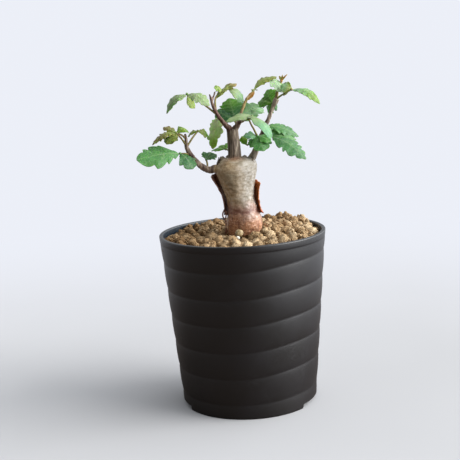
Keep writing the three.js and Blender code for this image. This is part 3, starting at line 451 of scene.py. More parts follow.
def fertiliser_bead():
    f = Finish("fertiliser_bead")
    skin = f.grain(700, 4)
    colour = f.mix(skin.between(0.35, 0.7), "8F7A55", "B5A27C")
    normal = f.bump(f.grain(1500, 4), 0.06, 0.5)
    return f.finished(colour, 0.42 + skin * 0.2, normal, Specular_IOR_Level=0.5)


def white_crumb():
    f = Finish("white_crumb")
    skin = f.grain(1400, 4)
    colour = f.mix(skin.between(0.4, 0.65), "FFFDF5", "E9E2D2")
    return f.finished(colour, 0.6 + skin * 0.2, f.bump(skin, 0.15, 0.6))


def caudex_bark():
    """Waxy trunk skin that turns pink and rusty towards the soil, and striped brown-grey stems"""
    f = Finish("caudex_bark")
    ring_place = f.stretched(1, 1, 2.0)
    left = f.mark("left_side")
    mottle = f.grain(420, 5, 0.62)
    fleck = f.grain(1000, 5, 0.7, ring_place)
    line = f.grain(300, 4, 0.6, f.stretched(0.5, 0.5, 5.5))
    # The swollen trunk: grey-cream, tan on its left, with fine rings, pale dots and brown flecks
    pale_skin = f.ramp(mottle, (0.34, "8A806F"), (0.47, "9F9788"), (0.57, "B1AAA0"), (0.7, "CFCAC0"))
    tan_skin = f.ramp(mottle, (0.34, "97794F"), (0.5, "BEA076"), (0.68, "DAC29A"))
    trunk = f.mix(left * 0.9, pale_skin, tan_skin)
    trunk = f.mix(f.grain(90, 3, 0.5).between(0.5, 0.62) * 0.35, trunk, "96917F")
    trunk = f.mix(f.mark("grey_patch") * 0.5, trunk, "8B8877")
    trunk = f.mix(line.between(0.48, 0.36) * 0.22, trunk, "6E5E42")
    trunk = f.mix(line.between(0.6, 0.7) * 0.22, trunk, "DCD6CA")
    trunk = f.mix(fleck.between(0.62, 0.74) * 0.4, trunk, "E4DED2")
    trunk = f.mix(fleck.between(0.42, 0.3) * 0.55, trunk, "5F4B2E")
    # Below the waist the skin is young and pink, and rust-coloured where it enters the soil
    level = f.axis("Z") * (1 / MM) + (f.grain(130, 3) - 0.5) * SKIN_WAVER
    pink_skin = f.ramp(mottle, (0.36, "8C6A5C"), (0.5, "AA8A7A"), (0.64, "CCB4A8"))
    rust_side = f.ramp(mottle, (0.36, "7E4C30"), (0.5, "9A6442"), (0.64, "B48460"))
    trunk = f.mix(level.between(*PINK_SKIN) * 0.85, trunk, f.mix(left, pink_skin, rust_side))
    for fade_in, fade_out, strength, tone in WAIST_LINES:
        trunk = f.mix(level.between(*fade_in) * level.between(*fade_out) * strength, trunk, tone)
    rust_skin = f.ramp(fleck, (0.36, "7C4A2C"), (0.5, "AC744C"), (0.66, "D2A888"))
    trunk = f.mix(level.between(*RUST_SKIN) * 0.85, trunk, rust_skin)
    crack = f.grain(520, 3, 0.6, f.stretched(1, 1, 0.3))
    trunk = f.mix(crack.between(0.46, 0.36) * level.between(*CRACKED_SKIN) * 0.6, trunk, "5C2C1A")
    # Stems: dark brown-grey with paler stripes along them
    stripe = f.grain(430, 4, 0.6, f.stretched(1, 1, 0.16), 0.2)
    stem = f.ramp(stripe, (0.36, "44342B"), (0.47, "70604F"), (0.56, "948370"), (0.66, "CDBFA8"))
    stem = f.mix(f.mark("pale") * 0.75, stem, "C8B8A4")
    stem = f.mix(f.mark("red") * 0.8, stem, "5A3428")
    stem = f.mix(f.mark("green") * 0.8, stem, "96803A")
    colour = f.mix(f.mark("stem"), trunk, stem)
    colour = f.mix(f.mark("worn") * 0.8, colour, "A87C5C")
    # The dark mark is partly painted shade, in the stems' grooves and the hollow beside the right branch, and
    # partly the torn rim's dark bark
    colour = f.mix(f.mark("dark") * 0.85, colour, "1E120C")
    normal = f.bump(mottle * 0.4 + line * 0.25 + fleck * 0.3, 0.26, 0.35)
    normal = f.bump(f.grain(2600, 4, 0.7, ring_place), 0.07, 0.4, normal)
    roughness = 0.40 + fleck * 0.16 + f.mark("dark") * 0.3 + f.mark("stem") * 0.15
    return f.finished(colour, roughness, normal, Specular_IOR_Level=0.5)


def peeled_bark(name, deep, middle, bright, low):
    """Papery bark with streaks along it, another tone low down and a painted highlight along its free edge"""
    f = Finish(name)
    streak = f.grain(420, 5, 0.65, f.stretched(1, 1, 0.3), 0.4)
    colour = f.ramp(streak, (0.32, deep), (0.5, middle), (0.68, bright))
    # Painted highlight: the curled free edge is brightened towards the bright tone
    colour = f.mix(f.mark("edge") * 0.7, colour, bright)
    colour = f.mix(f.mark("low") * 0.75, colour, low)
    colour = f.mix(f.grain(1500, 4).between(0.56, 0.72) * 0.4, colour, "E0B083")
    return f.finished(colour, 0.45 + streak * 0.25, f.bump(streak, 0.3, 0.7), Specular_IOR_Level=0.4)


def leaf_skin(name, roughness):
    """A leaf's skin in its mesh's own tone, with pale veins, a blushed edge and a duller underside"""
    f = Finish(name)
    tone = f.mark("tone", "Color")
    under = f.mark("under")
    mottle = f.grain(320, 4, 0.6)
    shade = f.mix(1.0, tone, (0.5, 0.62, 0.4, 1), "MULTIPLY")
    colour = f.mix(mottle.between(0.36, 0.7) * 0.5, tone, shade)
    colour = f.mix(f.grain(1300, 3).between(0.52, 0.7) * 0.14, colour, "D6E4B4")
    colour = f.mix(f.mark("vein") * 0.42, colour, f.mix(0.45, tone, "DCE6B8"))
    colour = f.mix(f.mark("edge") * f.mark("blush"), colour, "7A4A28")
    colour = f.mix(under * 0.4, colour, f.mix(0.6, tone, "B9C9A0"))
    normal = f.bump(f.cells(900) * 0.5 + f.grain(1800, 3) * 0.5, 0.1, 0.4)
    fixed = {"Specular_IOR_Level": 0.35, "Subsurface_Weight": 0.4, "Subsurface_Scale": 0.0012,
             "Subsurface_Radius": (0.5, 1.0, 0.2)}
    return f.finished(colour, roughness + mottle * 0.12 + under * 0.12, normal, **fixed)


def pale_floor():
    """Plain and pale, darker in what it throws back on the pot, and glowing with the backdrop's light behind
    the pot and to its right, where the glow is painted window light that the pot reflects
    """
    f = Finish("pale_floor")
    cloud = f.grain(3, 3).between(0.3, 0.7)
    pale = {"Base Color": f.mix(cloud, (0.52, 0.52, 0.53, 1), (0.55, 0.55, 0.56, 1)),
            "Roughness": 0.85, "Specular IOR Level": 0.1}
    dark = {"Base Color": f.mix(cloud, (0.1, 0.075, 0.06, 1), (0.12, 0.09, 0.072, 1)), "Roughness": 0.9}
    near = f.add("ShaderNodeMixShader", values={
        0: f.add("ShaderNodeLightPath", output="Is Camera Ray"),
        1: f.add("ShaderNodeBsdfPrincipled", values=dark),
        2: f.add("ShaderNodeBsdfPrincipled", values=pale)})
    far = f.add("ShaderNodeEmission", values={"Color": BACKDROP, "Strength": 1.0})
    # Painted light: the floor glows behind the pot and, as a pool of window light for the pot's right side to
    # reflect, to its right
    lit = 1 - (1 - f.axis("Y").between(0.03, 0.5)) * (1 - f.axis("X").between(0.12, 0.3))
    both = f.add("ShaderNodeMixShader", values={0: lit, 1: near, 2: far})
    f.add("ShaderNodeOutputMaterial", values={"Surface": both})
    return f.material


# Meshes

def plain_mesh(name, points, faces):
    mesh = bpy.data.meshes.new(name)
    mesh.from_pydata([tuple(p) for p in points], [], faces)
    return mesh


def shown(name, data):
    """A new object in the scene"""
    thing = bpy.data.objects.new(name, data)
    bpy.context.scene.collection.objects.link(thing)
    return thing


def worked_out(carrier):
    """The plain mesh that an object's modifiers make, after which the object goes"""
    ready = carrier.evaluated_get(bpy.context.evaluated_depsgraph_get())
    made = bpy.data.meshes.new_from_object(ready)
    bpy.data.objects.remove(carrier)
    return made


def taken(shape):
    """The points and faces of a bmesh, which is then let go"""
    shape.verts.index_update()
    points = np.array([v.co[:] for v in shape.verts])
    faces = [tuple(v.index for v in face.verts) for face in shape.faces]
    shape.free()
    return points, faces


def attach(piece, stands_for=None):
    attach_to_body(piece, BODY)
    if stands_for:
        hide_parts(stands_for)
    return piece


def add_piece(name, shape, finish, stands_for=None):
    """A smooth closed mesh that rides on the part's one body, from its points, faces and marks"""
    points, faces, marks = shape
    mesh = plain_mesh(name, placed(points), faces)
    for mark, values in marks.items():
        values = np.asarray(values, float)
        if values.ndim == 2:
            layer = mesh.attributes.new(mark, "FLOAT_COLOR", "POINT")
            layer.data.foreach_set("color", np.concatenate([values, np.ones((len(values), 1))], 1).ravel())
        else:
            mesh.attributes.new(mark, "FLOAT", "POINT").data.foreach_set("value", values)
    skin = bmesh.new()
    skin.from_mesh(mesh)
    bmesh.ops.recalc_face_normals(skin, faces=skin.faces)
    skin.to_mesh(mesh)
    skin.free()
    mesh.materials.append(finish)
    mesh.shade_smooth()
    return attach(shown(name, mesh), stands_for)


def gather(shapes):
    """Several (points, faces, marks) as one"""
    points, faces, marks = [], [], {}
    start = 0
    for shape_points, shape_faces, shape_marks in shapes:
        points.append(np.asarray(shape_points, float))
        faces += [tuple(i + start for i in face) for face in shape_faces]
        start += len(shape_points)
        for mark, values in shape_marks.items():
            marks.setdefault(mark, []).append(np.asarray(values, float))
    return np.concatenate(points), faces, {mark: np.concatenate(values) for mark, values in marks.items()}


def ring_faces(rings, sides):
    """Faces between rings of points that follow each other"""
    faces = []
    for start in range(0, (rings - 1) * sides, sides):
        for k in range(sides):
            p, q = start + k, start + (k + 1) % sides
            faces.append((p, q, q + sides, p + sides))
    return faces


def even_turns(sides):
    return [2 * math.pi * k / sides for k in range(sides)]


def curve_through(points, count):
    """Evenly spaced points on a smooth curve through the given ones, and its directions"""
    given = np.asarray(points, float)
    ends = np.concatenate([[2 * given[0] - given[1]], given, [2 * given[-1] - given[-2]]])
    places, ways = [], []
    for share in np.linspace(0, len(given) - 1, count):
        first = min(int(share), len(given) - 2)
        t = share - first
        a, b, c, d = ends[first:first + 4]
        places.append(b + 0.5 * t * ((c - a) + t * ((2 * a - 5 * b + 4 * c - d) + t * (3 * (b - c) + d - a))))
        way = 0.5 * ((c - a) + 2 * t * (2 * a - 5 * b + 4 * c - d) + 3 * t * t * (3 * (b - c) + d - a))
        ways.append(way / np.linalg.norm(way))
    return np.array(places), np.array(ways)


def tube(points, radii, rings, sides):
    """A round limb along a smooth curve, with blunt closed ends"""
    centres, ways = curve_through(points, rings)
    widths = np.interp(np.linspace(0, 1, rings), np.linspace(0, 1, len(radii)), radii)
    side = np.cross(ways[0], (0.31, 0.87, 0.38))
    corners = []
    for centre, way, width in zip(centres, ways, widths):
        side = side - way * (side @ way)
        side /= np.linalg.norm(side)
        other = np.cross(way, side)
        for turn in even_turns(sides):
            corners.append(centre + width * (math.cos(turn) * side + math.sin(turn) * other))
    faces = ring_faces(rings, sides)
    for row, outward in ((0, -1), (rings - 1, 1)):
        tip = len(corners)
        corners.append(centres[row] + outward * 0.5 * widths[row] * ways[row])
        for k in range(sides):
            p, q = row * sides + k, row * sides + (k + 1) % sides
            faces.append((p, q, tip) if outward > 0 else (q, p, tip))
    return np.array(corners), faces


def closed_sheet(front, back, rows, columns, marks):
    """A front and a back grid of points, closed along their edges"""
    count = rows * columns
    faces = []
    for i in range(rows - 1):
        for j in range(columns - 1):
            p = i * columns + j
            faces.append((p, p + 1, p + columns + 1, p + columns))
            faces.append((count + p, count + p + columns, count + p + columns + 1, count + p + 1))
    sides = [(i * columns + j, (i + 1) * columns + j) for i in range(rows - 1) for j in (0, columns - 1)]
    ends = [(i * columns + j, i * columns + j + 1) for j in range(columns - 1) for i in (0, rows - 1)]
    faces += [(p, q, count + q, count + p) for p, q in sides + ends]
    both = {mark: list(values) * 2 for mark, values in marks.items()}
    both["under"] = [0.0] * count + [1.0] * count
    return np.array(list(front) + list(back)), faces, both


def bead_shape(middle, size, seed, roughness):
    """A rough little ball"""
    ball = bmesh.new()
    bmesh.ops.create_icosphere(ball, subdivisions=4, radius=1)
    points, faces = taken(ball)
    for i, point in enumerate(points):
        place = Vector(point)
        bump = noise.noise(place * 1.4 + Vector((seed, 0, 0)))
        bump += 0.4 * noise.noise(place * 4 + Vector((0, seed, 0)))
        points[i] = np.array(middle) + point * np.array(size) * (1 + roughness * bump)
    return points, faces, {}


# Pot

def wall_radius(z):
    return FOOT_RADIUS + (RIM_RADIUS - FOOT_RADIUS) * z / POT_HEIGHT


def inner_radius(z):
    return wall_radius(z) - BAND_SWELL - WALL


def band_swell(z):
    return BAND_SWELL * (math.sqrt(abs(math.sin(math.pi * (z - FIRST_GROOVE) / BAND_PITCH))) - 1)


def band_lift(turn, z):
    """How far the bands rise where they waver up towards the pot's right side"""
    fade = smoothstep(z, 0, BAND_PITCH) * (1 - smoothstep(z, POT_HEIGHT - BAND_PITCH, LIP_BOTTOM))
    towards = math.cos(turn - HIGH_SIDE) - HIGH_SIDE_EDGE
    return fade * BAND_WAVER * (1 + math.tanh(HIGH_SIDE_SHARPNESS * towards))


def notch_height(turn):
    """How high the foot is cut away at this turn round the pot"""
    away = abs(math.remainder(turn - NOTCH_CENTRE, math.pi))
    return NOTCH_HEIGHT * (1 - smoothstep(away - NOTCH_HALF_ANGLE, -NOTCH_SIDE, NOTCH_SIDE))


def pot_turns():
    """Even turns, with close pairs added at the sides of the notches"""
    turns = list(np.linspace(-math.pi, math.pi, POT_SIDES, endpoint=False))
    for centre in (NOTCH_CENTRE, NOTCH_CENTRE + math.pi):
        for side in (-1, 1):
            for step in NOTCH_TURNS:
                turns.append(math.remainder(centre + side * NOTCH_HALF_ANGLE + step, 2 * math.pi))
    return sorted(turns)


def on_wall(turn, z):
    height = z + band_lift(turn, z)
    if z < NOTCH_HEIGHT + 1:
        height = max(height, notch_height(turn) + NOTCH_SQUEEZE * z / (NOTCH_HEIGHT + 1))
    return wall_radius(height) + band_swell(z), height


def pot_profile():
    """The section as rules from a turn to a radius and a height: from the floor's underside round the foot,
    up the wall, over the lip and down the inside to the floor"""
    inside = FOOT_RADIUS - FOOT_WALL
    rules = []
    for z in (FLOOR_UNDERSIDE, FLOOR_UNDERSIDE / 2):
        rules.append(lambda turn, z=z: (inside, max(z, notch_height(turn))))
    for radius, z in FOOT_EDGES:
        rules.append(lambda turn, radius=radius, z=z: (radius, z + notch_height(turn)))
    rules += [lambda turn, z=z: on_wall(turn, z) for z in np.arange(WALL_FROM, LIP_BOTTOM - 0.2, WALL_STEP)]
    below = wall_radius(LIP_BOTTOM) + band_swell(LIP_BOTTOM)
    lip = [(below + share * LIP_STEP, LIP_BOTTOM + rise) for share, rise in LIP_EDGES]
    quarter = even_turns(24)[:7]
    arc = [(LIP_ROUND * (1 - math.cos(turn)), LIP_ROUND * (1 - math.sin(turn))) for turn in quarter]
    lip += [(RIM_RADIUS - across, POT_HEIGHT - down) for across, down in arc]
    lip += [(RIM_RADIUS - LIP_WIDTH + across, POT_HEIGHT - down) for down, across in arc]
    lip += [(inner_radius(z), z) for z in np.linspace(LIP_BOTTOM, FLOOR_TOP, INNER_ROWS)]
    return rules + [lambda turn, point=point: point for point in lip]


def pot_shape():
    shape = bmesh.new()

    def loop(middle, spots):
        """A ring of points, each spot a turn with its radius and height"""
        return [shape.verts.new((middle[0] + radius * math.cos(turn), middle[1] + radius * math.sin(turn), z))
                for turn, (radius, z) in spots]

    def join(low, high):
        for k in range(len(low)):
            after = (k + 1) % len(low)
            shape.faces.new((low[k], low[after], high[after], high[k]))

    rows = [loop((0, 0), [(turn, rule(turn)) for turn in pot_turns()]) for rule in pot_profile()]
    for low, high in zip(rows, rows[1:]):
        join(low, high)
    floor_loops = {FLOOR_UNDERSIDE: [rows[0]], FLOOR_TOP: [rows[-1]]}
    for n in range(DRAIN_COUNT):
        centre = 2 * math.pi * (n + 0.5) / DRAIN_COUNT
        middle = DRAIN_RING * math.cos(centre), DRAIN_RING * math.sin(centre)
        for z, loops in floor_loops.items():
            loops.append(loop(middle, [(turn, (DRAIN_RADIUS, z)) for turn in even_turns(DRAIN_SIDES)]))
        join(floor_loops[FLOOR_UNDERSIDE][-1], floor_loops[FLOOR_TOP][-1])
    for loops in floor_loops.values():
        edges = [shape.edges.get(pair) for ring in loops for pair in zip(ring, ring[1:] + ring[:1])]
        bmesh.ops.triangle_fill(shape, edges=edges, use_beauty=True, use_dissolve=False)
    return taken(shape)


def make_pot(finish):
    points, faces = pot_shape()
    # The inside mark places the painted bluish sky reflection on the inner wall
    within = np.hypot(points[:, 0], points[:, 1]) < inner_radius(points[:, 2]) + 0.3
    marks = {"inside": within * (points[:, 2] > FLOOR_UNDERSIDE + 1) * 1.0}
    pot = add_piece("pot_detailed", (points, faces, marks), finish, "pot")
    shape = bmesh.new()
    shape.from_mesh(pot.data)
    for edge in shape.edges:
        edge.smooth = len(edge.link_faces) != 2 or edge.calc_face_angle(0) < CRISP_BEND
    shape.to_mesh(pot.data)
    shape.free()


# Soil

TRUNK_RINGS = curve_through(CAUDEX_RINGS, 200)[0]


def trunk_at(z):
    """The trunk's middle across and its radius at a height"""
    heights, middles, radii = TRUNK_RINGS.T
    return np.interp(z, heights, middles), np.interp(z, heights, radii)


def heap_height(x, y):
    rise, start, end = RIGHT_BANK
    height = SOIL_LEVEL + rise * smoothstep(x, start, end)
    drop, start, end = EDGE_DIP
    height = height - drop * smoothstep(np.hypot(x, y), start, end)
    for mound_x, mound_y, rise, spread in MOUNDS:
        height = height + rise * np.exp(-(np.hypot(x - mound_x, y - mound_y) / spread) ** 2)
    return height


def soil_surface(shares):
    """Rings of points from the trunk out to the pot's wall"""
    middle, root = trunk_at(COLLAR)
    root += ROOT_GAP_ON_TOP
    wall = inner_radius(SOIL_LEVEL) - SOIL_GAP
    points = []
    for share in shares:
        for turn in even_turns(SOIL_SIDES):
            hole = np.array([middle + root * math.cos(turn), root * math.sin(turn)])
            rim = np.array([wall * math.cos(turn), wall * math.sin(turn)])
            x, y = hole + share * (rim - hole)
            points.append((x, y, heap_height(x, y)))
    return points


def soil_shape():
    """Rings up the root's hole, over the heap to the wall, then down and under"""
    turns = even_turns(SOIL_SIDES)

    def ring(middle, radius, z):
        return [(middle + radius * math.cos(turn), radius * math.sin(turn), z) for turn in turns]

    points = []
    for z in np.linspace(HOLE_BOTTOM, HOLE_TOP, SIDE_ROWS):
        middle, root = trunk_at(max(z, ROOT_BOTTOM))
        points += ring(middle, root + ROOT_GAP, z)
    points += soil_surface(np.linspace(0, 1, SOIL_ROWS))
    for z in np.linspace(SOIL_LEVEL - 3, FLOOR_TOP + SOIL_GAP, SIDE_ROWS):
        points += ring(0, inner_radius(z) - SOIL_GAP, z)
    faces = ring_faces(len(points) // SOIL_SIDES, SOIL_SIDES)
    faces.append(tuple(reversed(range(len(points) - SOIL_SIDES, len(points)))))
    faces.append(tuple(range(SOIL_SIDES)))
    return np.array(points), faces, {}


def granule_scatter():
    """A tree that strews rough granules over a surface, and finer crumbs over the granules"""
    tree = bpy.data.node_groups.new("granule_scatter", "GeometryNodeTree")
    face = tree.interface
    face.new_socket("Surface", in_out="INPUT", socket_type="NodeSocketGeometry")
    for name in ("Spacing", "Smallest", "Largest", "Lift", "Crumble", "Crumbs", "Darkest", "Lightest"):
        face.new_socket(name, in_out="INPUT", socket_type="NodeSocketFloat")
    face.new_socket("Seed", in_out="INPUT", socket_type="NodeSocketInt")
    face.new_socket("Finish", in_out="INPUT", socket_type="NodeSocketMaterial")
    face.new_socket("Granules", in_out="OUTPUT", socket_type="NodeSocketGeometry")
    n = Nodes(tree)
    group = tree.nodes.new("NodeGroupInput")
    given = {socket.name: Wire(n, socket) for socket in group.outputs if socket.name}

    def drawn(low, high, shift, vector=False):
        """A random value for each spot, from a seed of its own"""
        low_name, high_name, output = (0, 1, 0) if vector else (2, 3, 1)
        values = {"Seed": given["Seed"] + shift, low_name: low, high_name: high}
        kind = "FLOAT_VECTOR" if vector else "FLOAT"
        return n.add("FunctionNodeRandomValue", {"data_type": kind}, values, output)

    def strewn(spots, subdivisions, sizes, tones, shifts):
        """Turned and scaled balls on the spots, each with a tone of its own"""
        ball = n.add("GeometryNodeMeshIcoSphere", values={"Radius": 1.0, "Subdivisions": subdivisions},
                     output="Mesh")
        turn = drawn((0.0, 0.0, 0.0), FULL_TURN, shifts[0], vector=True)
        size = drawn(*sizes, shifts[1], vector=True)
        balls = n.add("GeometryNodeInstanceOnPoints", values={
            "Points": spots, "Instance": ball, "Rotation": turn, "Scale": size})
        balls = n.add("GeometryNodeStoreNamedAttribute", {"data_type": "FLOAT", "domain": "INSTANCE"}, {
            "Geometry": balls, "Name": "granule_tone", "Value": drawn(*tones, shifts[2])})
        return n.add("GeometryNodeRealizeInstances", values={"Geometry": balls})

    def crumbled(shape, scale, depth):
        """Pushes a surface in and out by noise"""
        lumps = n.add("ShaderNodeTexNoise", values={"Scale": scale, "Detail": 3.0, "Roughness": 0.7})
        push = n.add("ShaderNodeVectorMath", {"operation": "SCALE"}, {
            0: n.add("GeometryNodeInputNormal"), "Scale": (lumps - 0.5) * depth})
        return n.add("GeometryNodeSetPosition", values={"Geometry": shape, "Offset": push})

    def even_size(name):
        return n.add("ShaderNodeCombineXYZ", values=dict.fromkeys("XYZ", given[name]))

    spots = n.add("GeometryNodeDistributePointsOnFaces", {"distribute_method": "POISSON"}, {
        "Mesh": given["Surface"], "Distance Min": given["Spacing"], "Density Max": MOST_GRANULES,
        "Seed": given["Seed"]}, "Points")
    lift = n.add("ShaderNodeCombineXYZ", values={"Z": given["Lift"] * drawn(0.0, 1.0, 1)})
    spots = n.add("GeometryNodeSetPosition", values={"Geometry": spots, "Offset": lift})
    sizes = even_size("Smallest"), even_size("Largest")
    granules = strewn(spots, 2, sizes, (given["Darkest"], given["Lightest"]), (2, 3, 4))
    granules = crumbled(granules, LUMP_SCALE, given["Crumble"])
    spots = n.add("GeometryNodeDistributePointsOnFaces", {"distribute_method": "RANDOM"}, {
        "Mesh": granules, "Density": given["Crumbs"], "Seed": given["Seed"] + 5}, "Points")
    crumbs = crumbled(strewn(spots, 1, CRUMB_SIZES, CRUMB_TONES, (7, 6, 8)), CRUMB_SCALE, CRUMB_DEPTH)
    both = n.add("GeometryNodeJoinGeometry")
    for part in (granules, crumbs):
        tree.links.new(part.socket, both.socket.node.inputs[0])
    both = n.add("GeometryNodeSetMaterial", values={"Geometry": both, "Material": given["Finish"]})
    n.add("NodeGroupOutput", values={"Granules": both})
    return tree


def strewn_mesh(name, tree, **inputs):
    """The plain mesh that the scatter makes over the heap"""
    points = soil_surface(np.linspace(0, 1, SOIL_ROWS)[STREWN_ROWS])
    faces = ring_faces(len(points) // SOIL_SIDES, SOIL_SIDES)
    carrier = shown(name + "_surface", plain_mesh(name + "_surface", placed(points), faces))
    scatter = carrier.modifiers.new("scatter", "NODES")
    scatter.node_group = tree
    for item in tree.interface.items_tree:
        if item.in_out == "INPUT" and item.name in inputs:
            scatter[item.identifier] = inputs[item.name]
    made = worked_out(carrier)
    made.name = name
    return made


def make_soil(body_finish, granule_finish):
    add_piece("soil_body", soil_shape(), body_finish, "soil")
    tree = granule_scatter()
    for name, inputs in GRANULE_LAYERS.items():
        made = strewn_mesh(name, tree, Finish=granule_finish, **inputs)
        made.shade_smooth()
        attach(shown(name, made))


# Caudex

def trunk_shape():
    """The swollen trunk and its root, with the same lumps as the solid"""
    points = []
    for z, middle, radius in TRUNK_RINGS:
        for turn in even_turns(TRUNK_SIDES):
            lift = sum(height * math.sin(waves * turn + twist * z) for waves, twist, height in LUMPS)
            reach = radius + lift * min(1, radius / FULL_LUMPS_FROM)
            points.append((middle + reach * math.cos(turn), reach * math.sin(turn), z))
    faces = ring_faces(len(TRUNK_RINGS), TRUNK_SIDES)
    faces.append(tuple(reversed(range(TRUNK_SIDES))))
    faces.append(tuple(range(len(points) - TRUNK_SIDES, len(points))))
    return np.array(points), faces, {}


def fused_wood():
    """Trunk, stems and branches grown into one skin: its points, outward ways and faces"""
    shapes = [trunk_shape()]
    for line, radii in LIMBS.values():
        shapes.append((*tube(line, radii, LIMB_ROWS * (len(line) - 1) + 1, LIMB_SIDES), {}))
    points, faces, _ = gather(shapes)
    carrier = shown("wood", plain_mesh("wood", points, faces))
    grow = carrier.modifiers.new("grow_together", "REMESH")
    grow.mode = "VOXEL"
    grow.voxel_size = WOOD_GRID
    blend = carrier.modifiers.new("blend", "SMOOTH")
    blend.iterations = 2
    made = worked_out(carrier)
    points, ways = np.zeros((2, len(made.vertices) * 3))
    made.vertices.foreach_get("co", points)
    made.vertices.foreach_get("normal", ways)
    return points.reshape(-1, 3), ways.reshape(-1, 3), [tuple(face.vertices) for face in made.polygons]


def nearest_on(line, points):
    """For each point, how far it is from a line of points"""
    best = np.full(len(points), np.inf)
    for a, b in zip(line, line[1:]):
        way = b - a
        share = np.clip(((points - a) @ way) / (way @ way), 0, 1)
        best = np.minimum(best, np.linalg.norm(points - (a + share[:, None] * way), axis=1))
    return best


def round_place(points, place):
    """1 in the middle of a place, and less away from it"""
    middle, reach = place
    return np.exp(-(np.linalg.norm((points - np.array(middle)) / np.array(reach), axis=1)) ** 2)


def stem_tones(points):
    """Where the stems and branches are pale, red and green"""
    x, _, z = points.T

    def near(limb):
        return nearest_on(curve_through(LIMBS[limb][0], 12)[0], points) < LIMB_REACH[limb]

    pale = near("right_branch") * smoothstep(x, *PALE_BRANCH_FROM) * 0.5
    pale = pale * (1 - smoothstep(z, *PALE_BRANCH_TO))
    for line, strength in PALE_RIBS:
        away = nearest_on(np.array(line, float), points)
        pale = np.maximum(pale, strength * np.exp(-(away / PALE_RIB_WIDTH) ** 2))
    right_fork = near("right_fork")
    red = 0.9 * near("left_fork") + 0.35 * near("left_branch") + 0.5 * right_fork * (z < RED_FORK_BELOW)
    green = right_fork * smoothstep(z, *GREEN_FORK_FROM) * 0.9
    green = green + near("bud_twig") * smoothstep(z, *GREEN_TWIG_FROM)
    return red, green, pale


def skin_relief(points, stem, rim):
    """How far each point of the skin is pushed out, how much painted shade darkens the grooves, and how dark
    the torn rim is
    """
    shift, dark = np.zeros((2, len(points)))
    for i, (x, y, z) in enumerate(points):
        coarse = noise.noise(Vector((x, y, z * 2.2)) * 0.42)
        fine = noise.noise(Vector((x, y, z * 3.5)) * 1.5)
        ribs = noise.noise(Vector((x * 1.4, y * 1.4, z * 0.18)))
        patch = noise.noise(Vector((x, y, z)) * 0.5 + Vector((7, 3, 1)))
        on_trunk = TRUNK_LUMPS * coarse + TRUNK_GRAIN * fine
        on_stem = STEM_RIBS * ribs + STEM_GRAIN * fine
        shift[i] = on_trunk * (1 - stem[i]) + on_stem * stem[i] + RIM_CRUMBLE * rim[i] * patch
        # Painted shade: the stems' grooves are darkened where the ribs sink in, below RIB_GROOVES_BELOW
        groove_shade = min(0.8, max(0.0, -ribs * 1.8) * stem[i]) * (z < RIB_GROOVES_BELOW)
        dark[i] = max(rim[i] * max(0.0, min(1.0, 0.5 + 2.2 * patch)), groove_shade)
    return shift, dark


def torn_rim(turns, seed):
    """A thin ragged sheet of bark that stands on the trunk's rim between two turns, in degrees"""
    rows, columns = 6, 40
    front, back, dark = [], [], []
    for upward in np.linspace(0, 1, rows):
        for across in np.linspace(0, 1, columns):
            turn = math.radians(turns[0] + (turns[1] - turns[0]) * across)
            torn = 0.6 + 0.9 * noise.noise(Vector((across * 9, seed, 0)))
            torn += 0.4 * noise.noise(Vector((across * 27, 0, seed)))
            tall = max(0.15, 2.6 * torn * math.sin(math.pi * across) ** 0.5)
            reach = TORN_RIM_RADIUS - 0.9 * upward
            reach += 0.5 * noise.noise(Vector((across * 12, upward * 2, seed)))
            for grid, radius in ((front, reach + TORN_RIM_THICK), (back, reach)):
                grid.append((TORN_RIM_MIDDLE + radius * math.cos(turn), radius * math.sin(turn),
                             TORN_RIM_FOOT + (1.2 + tall) * upward))
            dark.append(0.35 + 0.5 * upward)
    return closed_sheet(front, back, rows, columns, {"stem": [1.0] * len(dark), "dark": dark})


def make_caudex(finish):
    points, ways, faces = fused_wood()
    x, y, z = points.T
    middle, radius = trunk_at(z)
    out = np.hypot(x - middle, y) - radius
    stem = np.maximum(smoothstep(out, *STEM_OFF_TRUNK), smoothstep(z, *STEM_FROM))
    rim = np.exp(-(z - RIM_LEVEL) ** 2) * (1 - smoothstep(out, *RIM_FADE))
    rim = rim * smoothstep(y - 0.6 * x, *RIM_BEHIND)
    red, green, pale = stem_tones(points)
    shift, dark = skin_relief(points, stem, rim)
    points = points + ways * shift[:, None]
    marks = {
        "stem": stem, "red": red, "green": green,
        # The dark mark joins the painted shade of the grooves and the hollow with the torn rim's own dark
        # bark
        "dark": np.maximum(dark, 0.95 * round_place(points, PAINTED_HOLLOW_SHADE)),
        "pale": np.maximum(pale, 0.9 * round_place(points, PALE_KNOT)),
        "worn": round_place(points, WORN_RIM),
        "left_side": smoothstep(-points[:, 0], *LEFT_SIDE),
        "grey_patch": round_place(points, GREY_PATCH),
    }
    shapes = [(points, faces, marks)]
    for turns, seed in TORN_RIM:
        sheet, sheet_faces, given = torn_rim(turns, seed)
        none = np.zeros(len(sheet))
        shapes.append((sheet, sheet_faces, {mark: given.get(mark, none) for mark in marks}))
    add_piece("caudex_bark", gather(shapes), finish, "caudex")


# Loose bark: two strips, each fixed along one turn and free along the other, in degrees

FLAPS = {
    "bark_flap_left": dict(fixed=128, free=196, bottom=101.5, top=126.3, lift=2.6, seed=5),
    "bark_flap_right": dict(fixed=48, free=-24, bottom=101.8, top=121.5, lift=2.7, seed=9),
}
